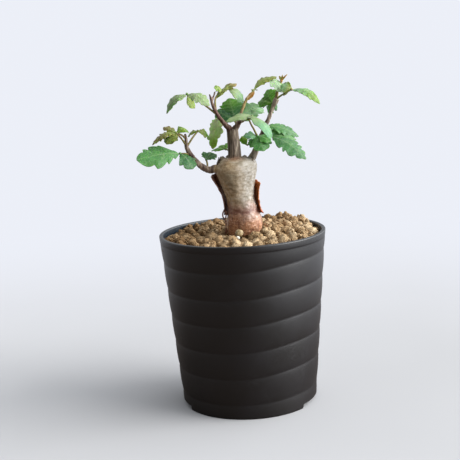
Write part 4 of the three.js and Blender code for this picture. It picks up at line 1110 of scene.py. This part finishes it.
# For each strip its material slot, then its deep, middle and bright tones and the one low down
FLAP_TONES = {
    "bark_flap_left": ("peeled_bark_dark", "4A2018", "7C4A3A", "C29C8E", "4A1A12"),
    "bark_flap_right": ("peeled_bark_bright", "A85222", "BE642C", "D88C54", "98381C"),
}
FLAP_STEPS = 7
RAGGEDNESS = 0.35
CURL_FROM = 1.6
LOW_CURL = 0.45
FLAP_THICK = 0.45
FLAP_GAP = 0.15
LUMPS_HEIGHT = sum(lump[2] for lump in LUMPS)
TORN_STRIPS = {"bark_flap_left": [
    [(-8.8, -1.6, 106.4), (-9.9, -2.4, 104.4), (-9.9, -2.8, 102.4), (-9, -3.2, 101.2), (-8.5, -4, 98.8),
     (-8.8, -4.2, 93.6)],
    [(-8.4, -2.4, 105.6), (-8.2, -3, 103.6), (-8.7, -3.2, 101.6)],
]}
STRIP_RADII = [0.45, 0.4, 0.35, 0.4, 0.3]


def flap_shape(fixed, free, bottom, top, lift, seed):
    """A strip of bark, tight along one side edge and rolled away along the other"""
    rows, columns = 60, 18
    draw = draw_from(seed)
    reaches = [1 - RAGGEDNESS * next(draw) for _ in range(FLAP_STEPS)]
    front, back, edge, low = [], [], [], []
    for upward in np.linspace(0, 1, rows):
        reach = np.interp(upward, np.linspace(0, 1, FLAP_STEPS), reaches)
        curl = lift * reach * (LOW_CURL + (1 - LOW_CURL) * upward ** CURL_FROM)
        torn = 0.06 * noise.noise(Vector((upward * 22, seed, 0)))
        torn += 0.03 * noise.noise(Vector((upward * 70, 0, seed)))
        for across in np.linspace(0, 1, columns):
            turn = math.radians(fixed + (free - fixed) * across * (reach + torn))
            z = bottom + (top - bottom) * upward
            z += 2 * across * ((1 - upward) ** 6 - upward ** 6)
            z += 0.9 * noise.noise(Vector((across * 6, seed, upward * 3))) * abs(2 * upward - 1) ** 4
            middle, radius = trunk_at(z)
            wrinkle = 0.25 * noise.noise(Vector((across * 5, upward * 9, seed))) * across
            inner = radius + LUMPS_HEIGHT + FLAP_GAP + curl * across ** CURL_FROM + wrinkle
            for grid, out in ((back, inner), (front, inner + FLAP_THICK)):
                grid.append((middle + out * math.cos(turn), out * math.sin(turn), z))
            edge.append(smoothstep(across, 0.75, 1))
            low.append(1 - smoothstep(upward, 0.05, 0.4))
    return closed_sheet(front, back, rows, columns, {"edge": edge, "low": low})


def torn_strip(line):
    """A thin curled string of bark"""
    points, faces = tube(line, STRIP_RADII, 40, 8)
    marks = {"edge": 0, "low": 1, "under": 0}
    return points, faces, {mark: [value] * len(points) for mark, value in marks.items()}


def make_flaps():
    for flap, facts in FLAPS.items():
        shapes = [flap_shape(**facts)] + [torn_strip(line) for line in TORN_STRIPS.get(flap, [])]
        add_piece(flap + "_fine", gather(shapes), peeled_bark(*FLAP_TONES[flap]), flap)


# Leaves

TONES = {name: linear(swatch) for name, swatch in {
    "blue_green": "508648", "blue_green_light": "669670", "green": "417F30", "deep": "508416",
    "deep_blue": "34683A", "bright": "5E8A2E", "yellow_green": "8EA02C", "cool_green": "427443",
    "mint": "7EA278", "pale_mint": "96B08A", "sage": "7E9264", "lit_green": "C0CC94", "olive": "727C2C",
    "light_olive": "98A04E", "bronze": "847240", "pale_bronze": "A8945A", "orange_bronze": "B47A34",
    "leafy_olive": "6E8C26", "stalk": "7C6C34",
}.items()}
BLADE_THICK = 0.34
STALK_RADII = (0.55, 0.45)
KNUCKLE = 0.75
BASE_HALF_WIDTH = 0.35
TOOTHED_FROM = 0.12
TOOTHED_SHARE = 0.8
LOBE_JITTER = 0.45
POINT_AT = 0.8
LOBE_SWEEP = 0.3
VEIN_SLANT = 0.2
SIDE_VEIN = 0.26
MIDRIB = 0.3
RIB_DEPTH = 0.13
OUTLINE_POWER = 0.7
RIB_POWER = 0.9
# How far a blade waves with its teeth and over its whole length, and how much its edge thins
TOOTH_WAVE = 0.22
BLADE_WAVE = 0.9
EDGE_THINNING = 0.45
# Where a side's first lobe starts and its last one ends, beyond the leaflet's own ends
OUTLINE_START = -0.1
OUTLINE_END = 1.08
ROWS_TO_A_TOOTH = 14
END_ROWS = 20
KNUCKLE_VEIN = 0.3
# How far a leaflet starts from the end of its stalk
LEAFLET_GAP = 0.5

# Each leaf: its material slot, the lines of its stalks, and its leaflets, which start from the end of the
# first stalk unless they have a start of their own. face is the way that a blade's upper side looks
LEAVES = {
    "leaf_lower_left": ("leaf_blue_green", [[(-25, -7.6, 137.2), (-27.4, -9.2, 138.2),
                                             (-30.6, -10, 138.6)]], [
        dict(to=(-52.7, -20, 137.6), width=15.5, face=(0.1, -0.7, 0.7), rise=1.6, fullest=1,
             tone="blue_green",
             notches=([(0.1, 0.3), (0.38, 0.14), (0.6, 0.26), (0.76, 0.3)],
                      [(0.14, 0.45), (0.3, 0.34), (0.62, 0.32)])),
        dict(start=(-30.2, -9.8, 138.7), to=(-24.2, -15.2, 130.7), width=11.4,
             face=(0.5, -0.7, 0.4), rise=1.2, bite=0.26, fullest=0.95, tone="deep_blue"),
    ]),
    "leaf_left_young": ("leaf_young", [[(-27.2, -8, 142.2), (-29.2, -9, 146), (-31.9, -10, 149.4)],
                                       [(-27.1, -8, 145.6), (-28.6, -8.5, 147.6), (-30.8, -9.6, 149.1)]], [
        dict(to=(-38.8, -5, 152.4), width=5.6, face=(0.2, -0.5, 0.8), rise=0.8, tone=("olive", "bronze")),
        dict(to=(-44.6, -14, 144.2), width=6.8, face=(-0.3, -0.5, 0.8), rise=2.8, teeth=4, fullest=0.64,
             tone=("olive", "bronze")),
        dict(to=(-37, -16, 144.4), width=8.8, face=(-0.4, -0.7, 0.4), rise=0.8, bite=0.24, fullest=0.75,
             tone="olive"),
        dict(to=(-26.2, -3.4, 149.8), width=7.4, face=(0.1, -0.6, 0.8), rise=2.2, tone="leafy_olive"),
    ]),
    "leaf_left_inner": ("leaf_young", [[(-27, -8, 141.6), (-23.8, -5, 146), (-20.9, -2, 149.2)]], [
        dict(to=(-26.4, 1, 146.2), width=4.4, face=(0, -0.5, 0.8), rise=1.2, tone="olive"),
        dict(to=(-15.4, 3.6, 145.2), width=6.4, face=(0.2, -0.7, 0.7), rise=1.6, tone=("olive", "bright")),
    ]),
    "leaf_upper_left": ("leaf_pale", [[(-10.2, -4, 157.4), (-15.5, -5, 162.2), (-20.7, -7, 166.9),
                                       (-25.2, -8, 169.3)]], [
        dict(to=(-13.8, -13, 162.9), width=10.4, face=(0.3, -0.5, 0.8), rise=2.2, teeth=3, bite=0.2,
             fullest=0.78, tone="sage"),
        dict(to=(-21.7, -2.4, 161.3), width=6.4, face=(-0.8, 0.1, 0.4), rise=1.2, bite=0.24,
             tone="yellow_green"),
        dict(to=(-36.3, -11, 159.8), width=8.4, face=(-0.6, -0.5, 0.7), rise=3.2, teeth=3, bite=0.14,
             fullest=0.62, tone="sage"),
    ]),
    "leaf_top_left": ("leaf_young", [[(-10.6, -4, 159.4), (-10.9, -0.8, 163.8), (-10, 1.2, 166.8),
                                      (-7, 4, 169), (-3.6, 6.2, 170.5)]], [
        dict(start=(-6, 4.8, 169.6), to=(1, 9.4, 172.6), width=6, face=(-0.3, -0.6, 0.7), rise=0.9,
             tone=("olive", "bronze")),
        dict(start=(-10.6, 0.4, 165.6), to=(-3.6, 5.8, 171.4), width=5.6, face=(-0.6, -0.6, 0.3), rise=0.9,
             teeth=3, bite=0.22, tone="olive"),
        dict(start=(-6.6, 4, 169.3), to=(-11, 1, 171.4), width=5.6, face=(0.2, -0.6, 0.7), rise=0.5,
             tone=("olive", "leafy_olive")),
        dict(to=(4.6, 8.4, 162.4), width=8, face=(0.5, -0.6, 0.6), rise=1.4, bite=0.24,
             tone=("sage", "mint")),
        dict(start=(-7.2, 3.6, 168.7), to=(-9.4, 9.4, 169.2), width=4.4, face=(0, 0.1, 1), rise=0.6,
             tone="olive"),
    ]),
    "leaf_top_arch": ("leaf_young", [[(8.2, 5.8, 165.8), (8.9, 6.6, 167.2), (9.8, 7.4, 168.6)]], [
        dict(to=(22.9, 13, 175), width=8.2, face=(-0.5, -0.5, 0.7), rise=2.6, teeth=4, bite=0.2,
             fullest=1.1, tone=("light_olive", "olive")),
        dict(start=(20.4, 9.4, 174.3), to=(24.8, 3.4, 167), width=9.4, face=(0.5, -0.7, 0.5), rise=0.8,
             fullest=0.7, bite=0.2, tone="pale_mint"),
        dict(to=(11, 12, 168.6), width=3.6, face=(0, 0, 1), rise=0.4, tone="olive"),
        dict(start=(5.8, 4.4, 163.6), to=(10.4, 5.8, 168), width=3.2, face=(-0.4, -0.7, 0.3), rise=0.4,
             teeth=1, tone="orange_bronze"),
    ]),
    "leaf_upper_right": ("leaf_blue_green", [[(22.3, 8.8, 163.4), (24.6, 6.4, 165.2), (27.4, 4, 166.8),
                                              (30, 1.8, 168.3)]], [
        dict(start=(29.6, 2.6, 168), to=(25.8, 6.2, 165.4), width=5.4, face=(0.3, -0.6, 0.7), rise=0.6,
             tone="pale_bronze"),
        dict(start=(30.2, 2.2, 168.3), to=(24.2, 3, 170.6), width=7.6, face=(0.1, -0.8, 0.5), rise=0.8,
             bite=0.24, tone=("olive", "mint")),
        dict(to=(44.1, -5, 160.4), width=8.4, face=(0.3, -0.5, 0.8), rise=3.4, teeth=4,
             fullest=0.75, bite=0.24, tone=("mint", "leafy_olive")),
    ]),
    "leaf_lower_right": ("leaf_blue_green", [[(12.9, 5.8, 143.6), (15, 2.5, 143.4), (18.2, -0.4, 144.2)]], [
        dict(to=(21.8, 4, 148.4), width=7.4, face=(-0.2, -0.7, 0.6), rise=0.6, tone="blue_green"),
        dict(start=(16.6, 2, 149.8), to=(33, 4.4, 143), width=9.4, face=(0.1, -0.6, 0.8), rise=1.6, teeth=4,
             bite=0.42, fullest=0.8, tone=("blue_green", "cool_green")),
        dict(to=(31.4, 1, 141.6), width=6.4, face=(0.3, -0.65, 0.7), rise=1.6, teeth=3, bite=0.5,
             fullest=0.7, tone="blue_green"),
        dict(to=(35.3, -10, 132.2), width=13.4, face=(0.4, -0.6, 0.7), rise=2.2, teeth=4, bite=0.4,
             fullest=0.85, tone="cool_green"),
    ]),
    "leaf_lower_centre": ("leaf_green", [[(10.2, 4.2, 138), (9.2, 2.2, 141.6), (10.4, 0.2, 145)],
                                         [(10.4, 0.2, 145), (8.9, -2.2, 148.6), (7.6, -4.2, 151.2),
                                          (6.4, -4.2, 154.2)],
                                         [(9.3, 2.4, 141.6), (7.7, 3.2, 141.2), (4.9, 3.8, 139.7)]], [
        dict(to=(13.4, -6.6, 137.2), width=12.5, face=(0.1, -0.7, 0.6), rise=1.2, bite=0.3, fullest=0.78,
             tone="blue_green"),
        dict(to=(6.6, -3.4, 139.2), width=6.4, face=(-0.1, -0.7, 0.6), rise=0.8, bite=0.3,
             tone="blue_green"),
        dict(to=(3.2, -2, 145.2), width=5.6, face=(-0.1, -0.7, 0.7), rise=0.8, bite=0.24, fullest=0.75,
             tone="blue_green_light"),
        dict(start=(4.9, 3.8, 139.7), to=(2.3, 4, 144.6), width=4.8, face=(0, -0.9, 0.1),
             rise=0.4, fullest=1.2, tone="leafy_olive"),
        dict(to=(17.4, -4.6, 141.6), width=7.6, face=(0.2, -0.7, 0.7), rise=1, bite=0.3, tone="green"),
    ]),
    "leaf_front": ("leaf_pale", [[(5.8, -3.3, 154.3), (7.4, -5.4, 155), (8, -8.2, 156.2)]], [
        dict(start=(9, -8, 155.6), to=(-5.6, -17, 154.5), width=6.6, face=(0, -0.5, 0.9), rise=1.8,
             bite=0.1, fullest=0.75, tone="sage"),
        dict(start=(6.6, -8.4, 156.2), to=(16.4, -24, 145), width=12, face=(0.6, -0.5, 0.6), rise=3.2,
             bite=0.16, fullest=0.72, tone=("sage", "blue_green_light")),
        dict(to=(13.4, -2.4, 159.8), width=8.4, face=(-0.2, -0.7, 0.7), rise=1.4, teeth=3, tone="mint"),
    ]),
    "leaf_inner_hanging": ("leaf_pale", [[(-12, 6.4, 148.6), (-10.6, 6.4, 152.4), (-9, 5.4, 155.4),
                                          (-7.8, -1.8, 154)]], [
        dict(start=(-9.6, 6, 154.9), to=(-14.6, 10, 146), width=7.4, face=(-0.7, -0.6, 0.2), rise=1,
             teeth=3, bite=0.24, tone="lit_green"),
        dict(start=(-9.8, 5.8, 154.2), to=(-9.8, 1.4, 144.8), width=6.6, face=(-0.5, -0.8, 0.2), rise=1,
             tone="lit_green"),
        dict(start=(-12.2, 6.2, 149.4), to=(-13.4, 2.8, 138.7), width=7.8, face=(-0.5, -0.8, 0.1), rise=0.8,
             fullest=0.75, tone=("lit_green", "yellow_green")),
    ]),
    "leaf_centre_back": ("leaf_deep", [[(-1.2, 0.6, 148.4), (-0.4, 4.4, 150.6), (-0.6, 9.2, 152.5)]], [
        dict(to=(-3.2, 20, 164.4), width=16, face=(-0.1, -0.75, 0.6), rise=1.4, teeth=5,
             fullest=0.8, bite=0.24, tone=("deep_blue", "deep")),
        dict(to=(-11.2, 15, 158), width=11, face=(-0.2, -0.7, 0.7), rise=1, teeth=3, tone="deep_blue"),
        dict(to=(12.4, 17, 160.4), width=12.6, face=(0.2, -0.7, 0.7), rise=1, teeth=4, bite=0.28,
             tone=("mint", "mint")),
    ]),
    "leaf_back_right": ("leaf_deep", [[(19.8, 8.8, 158.6), (20.6, 11.6, 160), (20.1, 14.2, 160.8)]], [
        dict(to=(17.6, 22, 167.6), width=10.4, face=(-0.4, -0.9, 0.2), rise=1, teeth=4,
             fullest=0.75, tone="deep"),
        dict(to=(12.6, 21, 161.4), width=9, face=(0, -0.8, 0.6), rise=1, teeth=3, tone="deep"),
        dict(to=(17.6, 20.4, 155.6), width=7.4, face=(-0.2, -0.8, 0.4), rise=0.8, tone="deep"),
        dict(to=(22.6, 16.8, 156.6), width=3.8, face=(0.3, -0.7, 0.4), rise=0.6, tone="deep_blue"),
    ]),
    "leaf_stem_back": ("leaf_deep", [[(-3, 1.8, 137.6), (-4.6, 7.4, 137), (-6.6, 12.4, 137.4)]], [
        dict(to=(-14.4, 17.6, 136.3), width=6, face=(0, -0.4, 0.9), rise=1, tone="deep"),
        dict(to=(-2.6, 19.2, 139.8), width=5.6, face=(0, -0.3, 0.9), rise=1, tone="deep"),
        dict(to=(-9.2, 21.6, 138.6), width=5.4, face=(0, -0.4, 0.9), rise=1, tone="deep"),
    ]),
    "leaf_trunk_left": ("leaf_deep", [[(-17, -3.6, 129), (-16.8, -1.4, 131.2), (-17.2, 1, 133.4)]], [
        dict(to=(-18.7, 4.2, 137.4), width=3.8, face=(0, -0.7, 0.6), rise=0.5, tone="deep_blue"),
        dict(to=(-14.6, 6, 136.8), width=4.4, face=(0, -0.7, 0.6), rise=0.6, tone="deep_blue"),
        dict(to=(-11.6, 4.6, 135.6), width=5.2, face=(0, -0.7, 0.7), rise=0.6, tone="deep_blue"),
    ]),
}
STALK_TONES = {"leaf_upper_right": "light_olive", "leaf_top_arch": "light_olive"}
BLUSH = {"bronze": 0.5, "olive": 0.25, "light_olive": 0.3, "pale_bronze": 0.4}
LEAST_BLUSH = 0.03
# The columns of points across a blade, from edge to edge
COLUMNS = (-1, -0.93, -0.8, -0.6, -0.38, -0.18, -0.07, 0, 0.07, 0.18, 0.38, 0.6, 0.8, 0.93, 1)
BUD_BASE = (25.2, 9, 172.8)
BUD_TONE = "orange_bronze"
BUD_LEAVES = [
    dict(to=(25.9, 9, 176), width=1.7, face=(-0.8, -0.5, 0)),
    dict(to=(28.4, 8.6, 176.2), width=1.6, face=(-0.7, -0.5, 0.5)),
    dict(to=(24.2, 11, 175.4), width=1.7, face=(0.3, 0.7, 0.3)),
]
LEAF_ROUGHNESS = {"leaf_young": 0.46, "leaf_pale": 0.5, "leaf_green": 0.44, "leaf_deep": 0.46,
                  "leaf_blue_green": 0.42}


def both_tones(tone):
    """The tones at a leaflet's base and tip, from one name or two"""
    return (tone, tone) if isinstance(tone, str) else tone


def lobe_notches(teeth, bite, seed, given=None):
    """Where the notches between one side's lobes are, and how deep each one is"""
    if given:
        places, depths = zip(*given)
    else:
        draw = draw_from(seed)
        step = TOOTHED_SHARE / teeth
        places = [TOOTHED_FROM + step * (k + LOBE_JITTER * (next(draw) - 0.5)) for k in range(teeth + 1)]
        depths = [bite * (0.7 + 0.6 * next(draw)) for _ in range(teeth + 1)]
    return [OUTLINE_START, *places, OUTLINE_END], [0, *depths, 0]


def lobe_reach(t, places, depths):
    """How much of the outline is left here: a lobe swells forward and ends in a sharp notch"""
    k = sum(t >= place for place in places[1:-1])
    phase = (t - places[k]) / (places[k + 1] - places[k])
    if phase < POINT_AT:
        return 1 - depths[k] * (1 - math.sin(math.pi / 2 * phase / POINT_AT) ** 0.8)
    return 1 - depths[k + 1] * ((phase - POINT_AT) / (1 - POINT_AT)) ** 1.2


def side_vein(t, side, places, length):
    """How much of a side vein is here: each runs from the rib to the point of a lobe"""
    vein = 0.0
    for low, high in zip(places[:-2], places[1:-1]):
        tip = low + POINT_AT * (high - low)
        away = (t - (tip - VEIN_SLANT * (1 - side) ** 1.2)) * length
        vein = max(vein, math.exp(-(away / SIDE_VEIN) ** 2) * (0.7 - 0.45 * side) * (side > 0.03))
    return vein


def leaflet_shape(start, to, width, face, rise=1, teeth=2, bite=0.36, droop=0.2, fullest=0.85, tone="green",
                  notches=(None, None), seed=0):
    """A lobed leaflet with a sunk rib, side veins that end in the lobes, and a gently waved blade"""
    start, chord = np.array(start, float), np.array(to, float) - np.array(start, float)
    length = np.linalg.norm(chord)
    ahead = chord / length
    up = np.array(face, float)
    up -= ahead * (up @ ahead)
    up /= np.linalg.norm(up)
    across = np.cross(ahead, up)
    seeds = int(310 * seed) + 40, int(310 * seed) + 47
    sides = [lobe_notches(teeth, bite, one, given) for one, given in zip(seeds, notches)]
    base_tone, tip_tone = both_tones(tone)

    def rib(t):
        return start + chord * t + up * rise * math.sin(math.pi * t ** RIB_POWER)

    rows = ROWS_TO_A_TOOTH * max(teeth, 4 if notches[0] else 0) + END_ROWS
    front, back, veins, edges, tones = [], [], [], [], []
    for t in np.linspace(0, 1, rows):
        full = math.sin(math.pi * max(t, 1e-6) ** fullest) ** OUTLINE_POWER
        tangent = rib(min(1, t + 0.02)) - rib(max(0, t - 0.02))
        tangent /= np.linalg.norm(tangent)
        normal = up - tangent * (up @ tangent)
        normal /= np.linalg.norm(normal)
        share = smoothstep(t, 0.2, 0.75)
        tone_here = (1 - share) * np.array(TONES[base_tone]) + share * np.array(TONES[tip_tone])
        for s in COLUMNS:
            side = abs(s)
            places, depths = sides[0 if s > 0 else 1]
            half = max(BASE_HALF_WIDTH * (1 - 0.6 * t), width / 2 * full * lobe_reach(t, places, depths))
            middle = math.exp(-(s * half / MIDRIB) ** 2) * (1 - 0.5 * t)
            vein = max(side_vein(t, side, places, length), middle) if t > 0.02 else 1.0
            wave = math.sin(2 * math.pi * teeth * t / TOOTHED_SHARE + 1.7 * np.sign(s) + seed)
            waves = TOOTH_WAVE * side ** 2 * wave
            waves += BLADE_WAVE * side ** 1.5 * noise.noise(Vector((t * 2.3, s * 0.8, seed * 1.7)))
            sag = droop * half * (0.45 * side + 0.55 * side ** 2)
            height = -sag - RIB_DEPTH * vein + waves * min(1, half / 3)
            forward = LOBE_SWEEP * half * side ** 1.5 * (1 - 0.5 * t)
            point = rib(t) + across * s * half + tangent * forward + normal * height
            half_thick = normal * BLADE_THICK * (1 - EDGE_THINNING * side) / 2
            front.append(point + half_thick)
            back.append(point - half_thick)
            veins.append(vein)
            edges.append(smoothstep(side, 0.6, 1))
            tones.append(tone_here)
    blush = [BLUSH.get(base_tone, LEAST_BLUSH)] * len(front)
    marks = {"vein": veins, "edge": edges, "blush": blush, "tone": tones}
    return closed_sheet(front, back, rows, len(COLUMNS), marks)


def even_marks(count, tone, vein=0.0):
    """The marks of a stalk or a knuckle, the same all over"""
    marks = {"vein": vein, "edge": 0.0, "under": 0.0, "blush": 0.0, "tone": TONES[tone]}
    return {mark: [value] * count for mark, value in marks.items()}


def stalk_shape(line, tone):
    points, faces = tube(line, STALK_RADII, 18, 10)
    return points, faces, even_marks(len(points), tone)


def knuckle_shape(middle, seed, tone):
    points, faces, _ = bead_shape(middle, (KNUCKLE, KNUCKLE, KNUCKLE), seed, 0.12)
    return points, faces, even_marks(len(points), tone, KNUCKLE_VEIN)


def make_leaves():
    finishes = {slot: leaf_skin(slot, roughness) for slot, roughness in LEAF_ROUGHNESS.items()}
    for n, (name, (slot, stalks, leaflets)) in enumerate(LEAVES.items()):
        node = stalks[0][-1]
        shapes = [stalk_shape(line, STALK_TONES.get(name, "stalk")) for line in stalks]
        shapes.append(knuckle_shape(node, n, both_tones(leaflets[0]["tone"])[0]))
        for k, blade in enumerate(leaflets):
            ahead = np.array(blade["to"]) - np.array(node)
            just_off = tuple(np.array(node) + LEAFLET_GAP * ahead / np.linalg.norm(ahead))
            shapes.append(leaflet_shape(**{"start": just_off, "seed": 1.3 * n + 2.1 * k, **blade}))
        add_piece(name + "_fine", gather(shapes), finishes[slot], name)


def make_bud(finish):
    shapes = [knuckle_shape(BUD_BASE, 4, BUD_TONE)]
    for k, blade in enumerate(BUD_LEAVES):
        shapes.append(leaflet_shape(BUD_BASE, rise=0.2, teeth=1, tone=BUD_TONE, seed=k, **blade))
    add_piece("bud_fine", gather(shapes), finish, "bud_right")


# Stage

def make_floor():
    floor = bmesh.new()
    bmesh.ops.create_circle(floor, cap_ends=True, radius=FLOOR_RADIUS, segments=96)
    mesh = bpy.data.meshes.new("floor")
    floor.to_mesh(mesh)
    floor.free()
    mesh.materials.append(pale_floor())
    shown("floor", mesh)


def make_room():
    """The room's light by direction, behind a plain backdrop that only the camera sees"""
    world = bpy.data.worlds.new("studio")
    world.use_nodes = True
    bpy.context.scene.world = world
    sky = Nodes(world.node_tree)
    world.node_tree.nodes.clear()
    way = sky.add("ShaderNodeTexCoord", output="Generated")
    turned = sky.add("ShaderNodeVectorMath", {"operation": "DOT_PRODUCT"}, {0: way, 1: BRIGHT_SIDE}, "Value")
    beside, behind, above = (sky.add("ShaderNodeSeparateXYZ", values={0: way}, output=axis) for axis in "XYZ")
    glow = DIM_LIGHT + SIDE_LIGHT * turned.between(0.2, 1) + WALL_LIGHT * behind.between(0.1, 0.8)
    glow = glow + TOP_LIGHT * above.between(0.2, 1) + LEFT_LIGHT * beside.between(-0.3, -1)
    both = sky.add("ShaderNodeMixShader", values={
        0: sky.add("ShaderNodeLightPath", output="Is Camera Ray"),
        1: sky.add("ShaderNodeBackground", values={"Color": ROOM_COLOUR, "Strength": glow}),
        2: sky.add("ShaderNodeBackground", values={"Color": BACKDROP, "Strength": 1.0})})
    sky.add("ShaderNodeOutputWorld", values={"Surface": both})


def make_window():
    window = bpy.data.lights.new("window", "SUN")
    window.energy = WINDOW_POWER
    window.angle = math.radians(WINDOW_WIDTH)
    window.color = WINDOW_COLOUR
    shown("window", window).rotation_euler = (-Vector(WINDOW_SIDE)).to_track_quat("-Z", "Y").to_euler()


def make_camera():
    """The camera of the photo: raised, aimed at the plant's middle, and rolled about its own line of sight"""
    back = Vector((0, -math.cos(CAMERA_ELEVATION), math.sin(CAMERA_ELEVATION)))
    right = Vector((1, 0, 0))
    up = Vector((0, math.sin(CAMERA_ELEVATION), math.cos(CAMERA_ELEVATION)))
    rolled_right = math.cos(CAMERA_ROLL) * right + math.sin(CAMERA_ROLL) * up
    rolled_up = -math.sin(CAMERA_ROLL) * right + math.cos(CAMERA_ROLL) * up
    data = bpy.data.cameras.new("photo_camera")
    data.sensor_width = SENSOR
    data.lens = FOCAL_PIXELS * SENSOR / FRAME_PIXELS
    camera = shown("photo_camera", data)
    turn = Matrix((rolled_right, rolled_up, back)).transposed()
    place = Vector(placed(np.array(CAMERA_AIM) + CAMERA_DISTANCE * np.array(back)))
    camera.matrix_world = Matrix.Translation(place) @ turn.to_4x4()
    bpy.context.scene.camera = camera


bpy.context.scene.view_settings.view_transform = "Standard"
make_camera()
make_floor()
make_room()
make_window()
make_pot(pot_plastic())
make_soil(packed_soil(), clay_granules())
make_caudex(caudex_bark())
make_flaps()
make_leaves()
make_bud(leaf_skin("bud_bronze", 0.5))
add_piece("prill_fine", bead_shape(**PRILL), fertiliser_bead(), "prill")
add_piece("crumb_white", bead_shape(**WHITE_CRUMB), white_crumb())
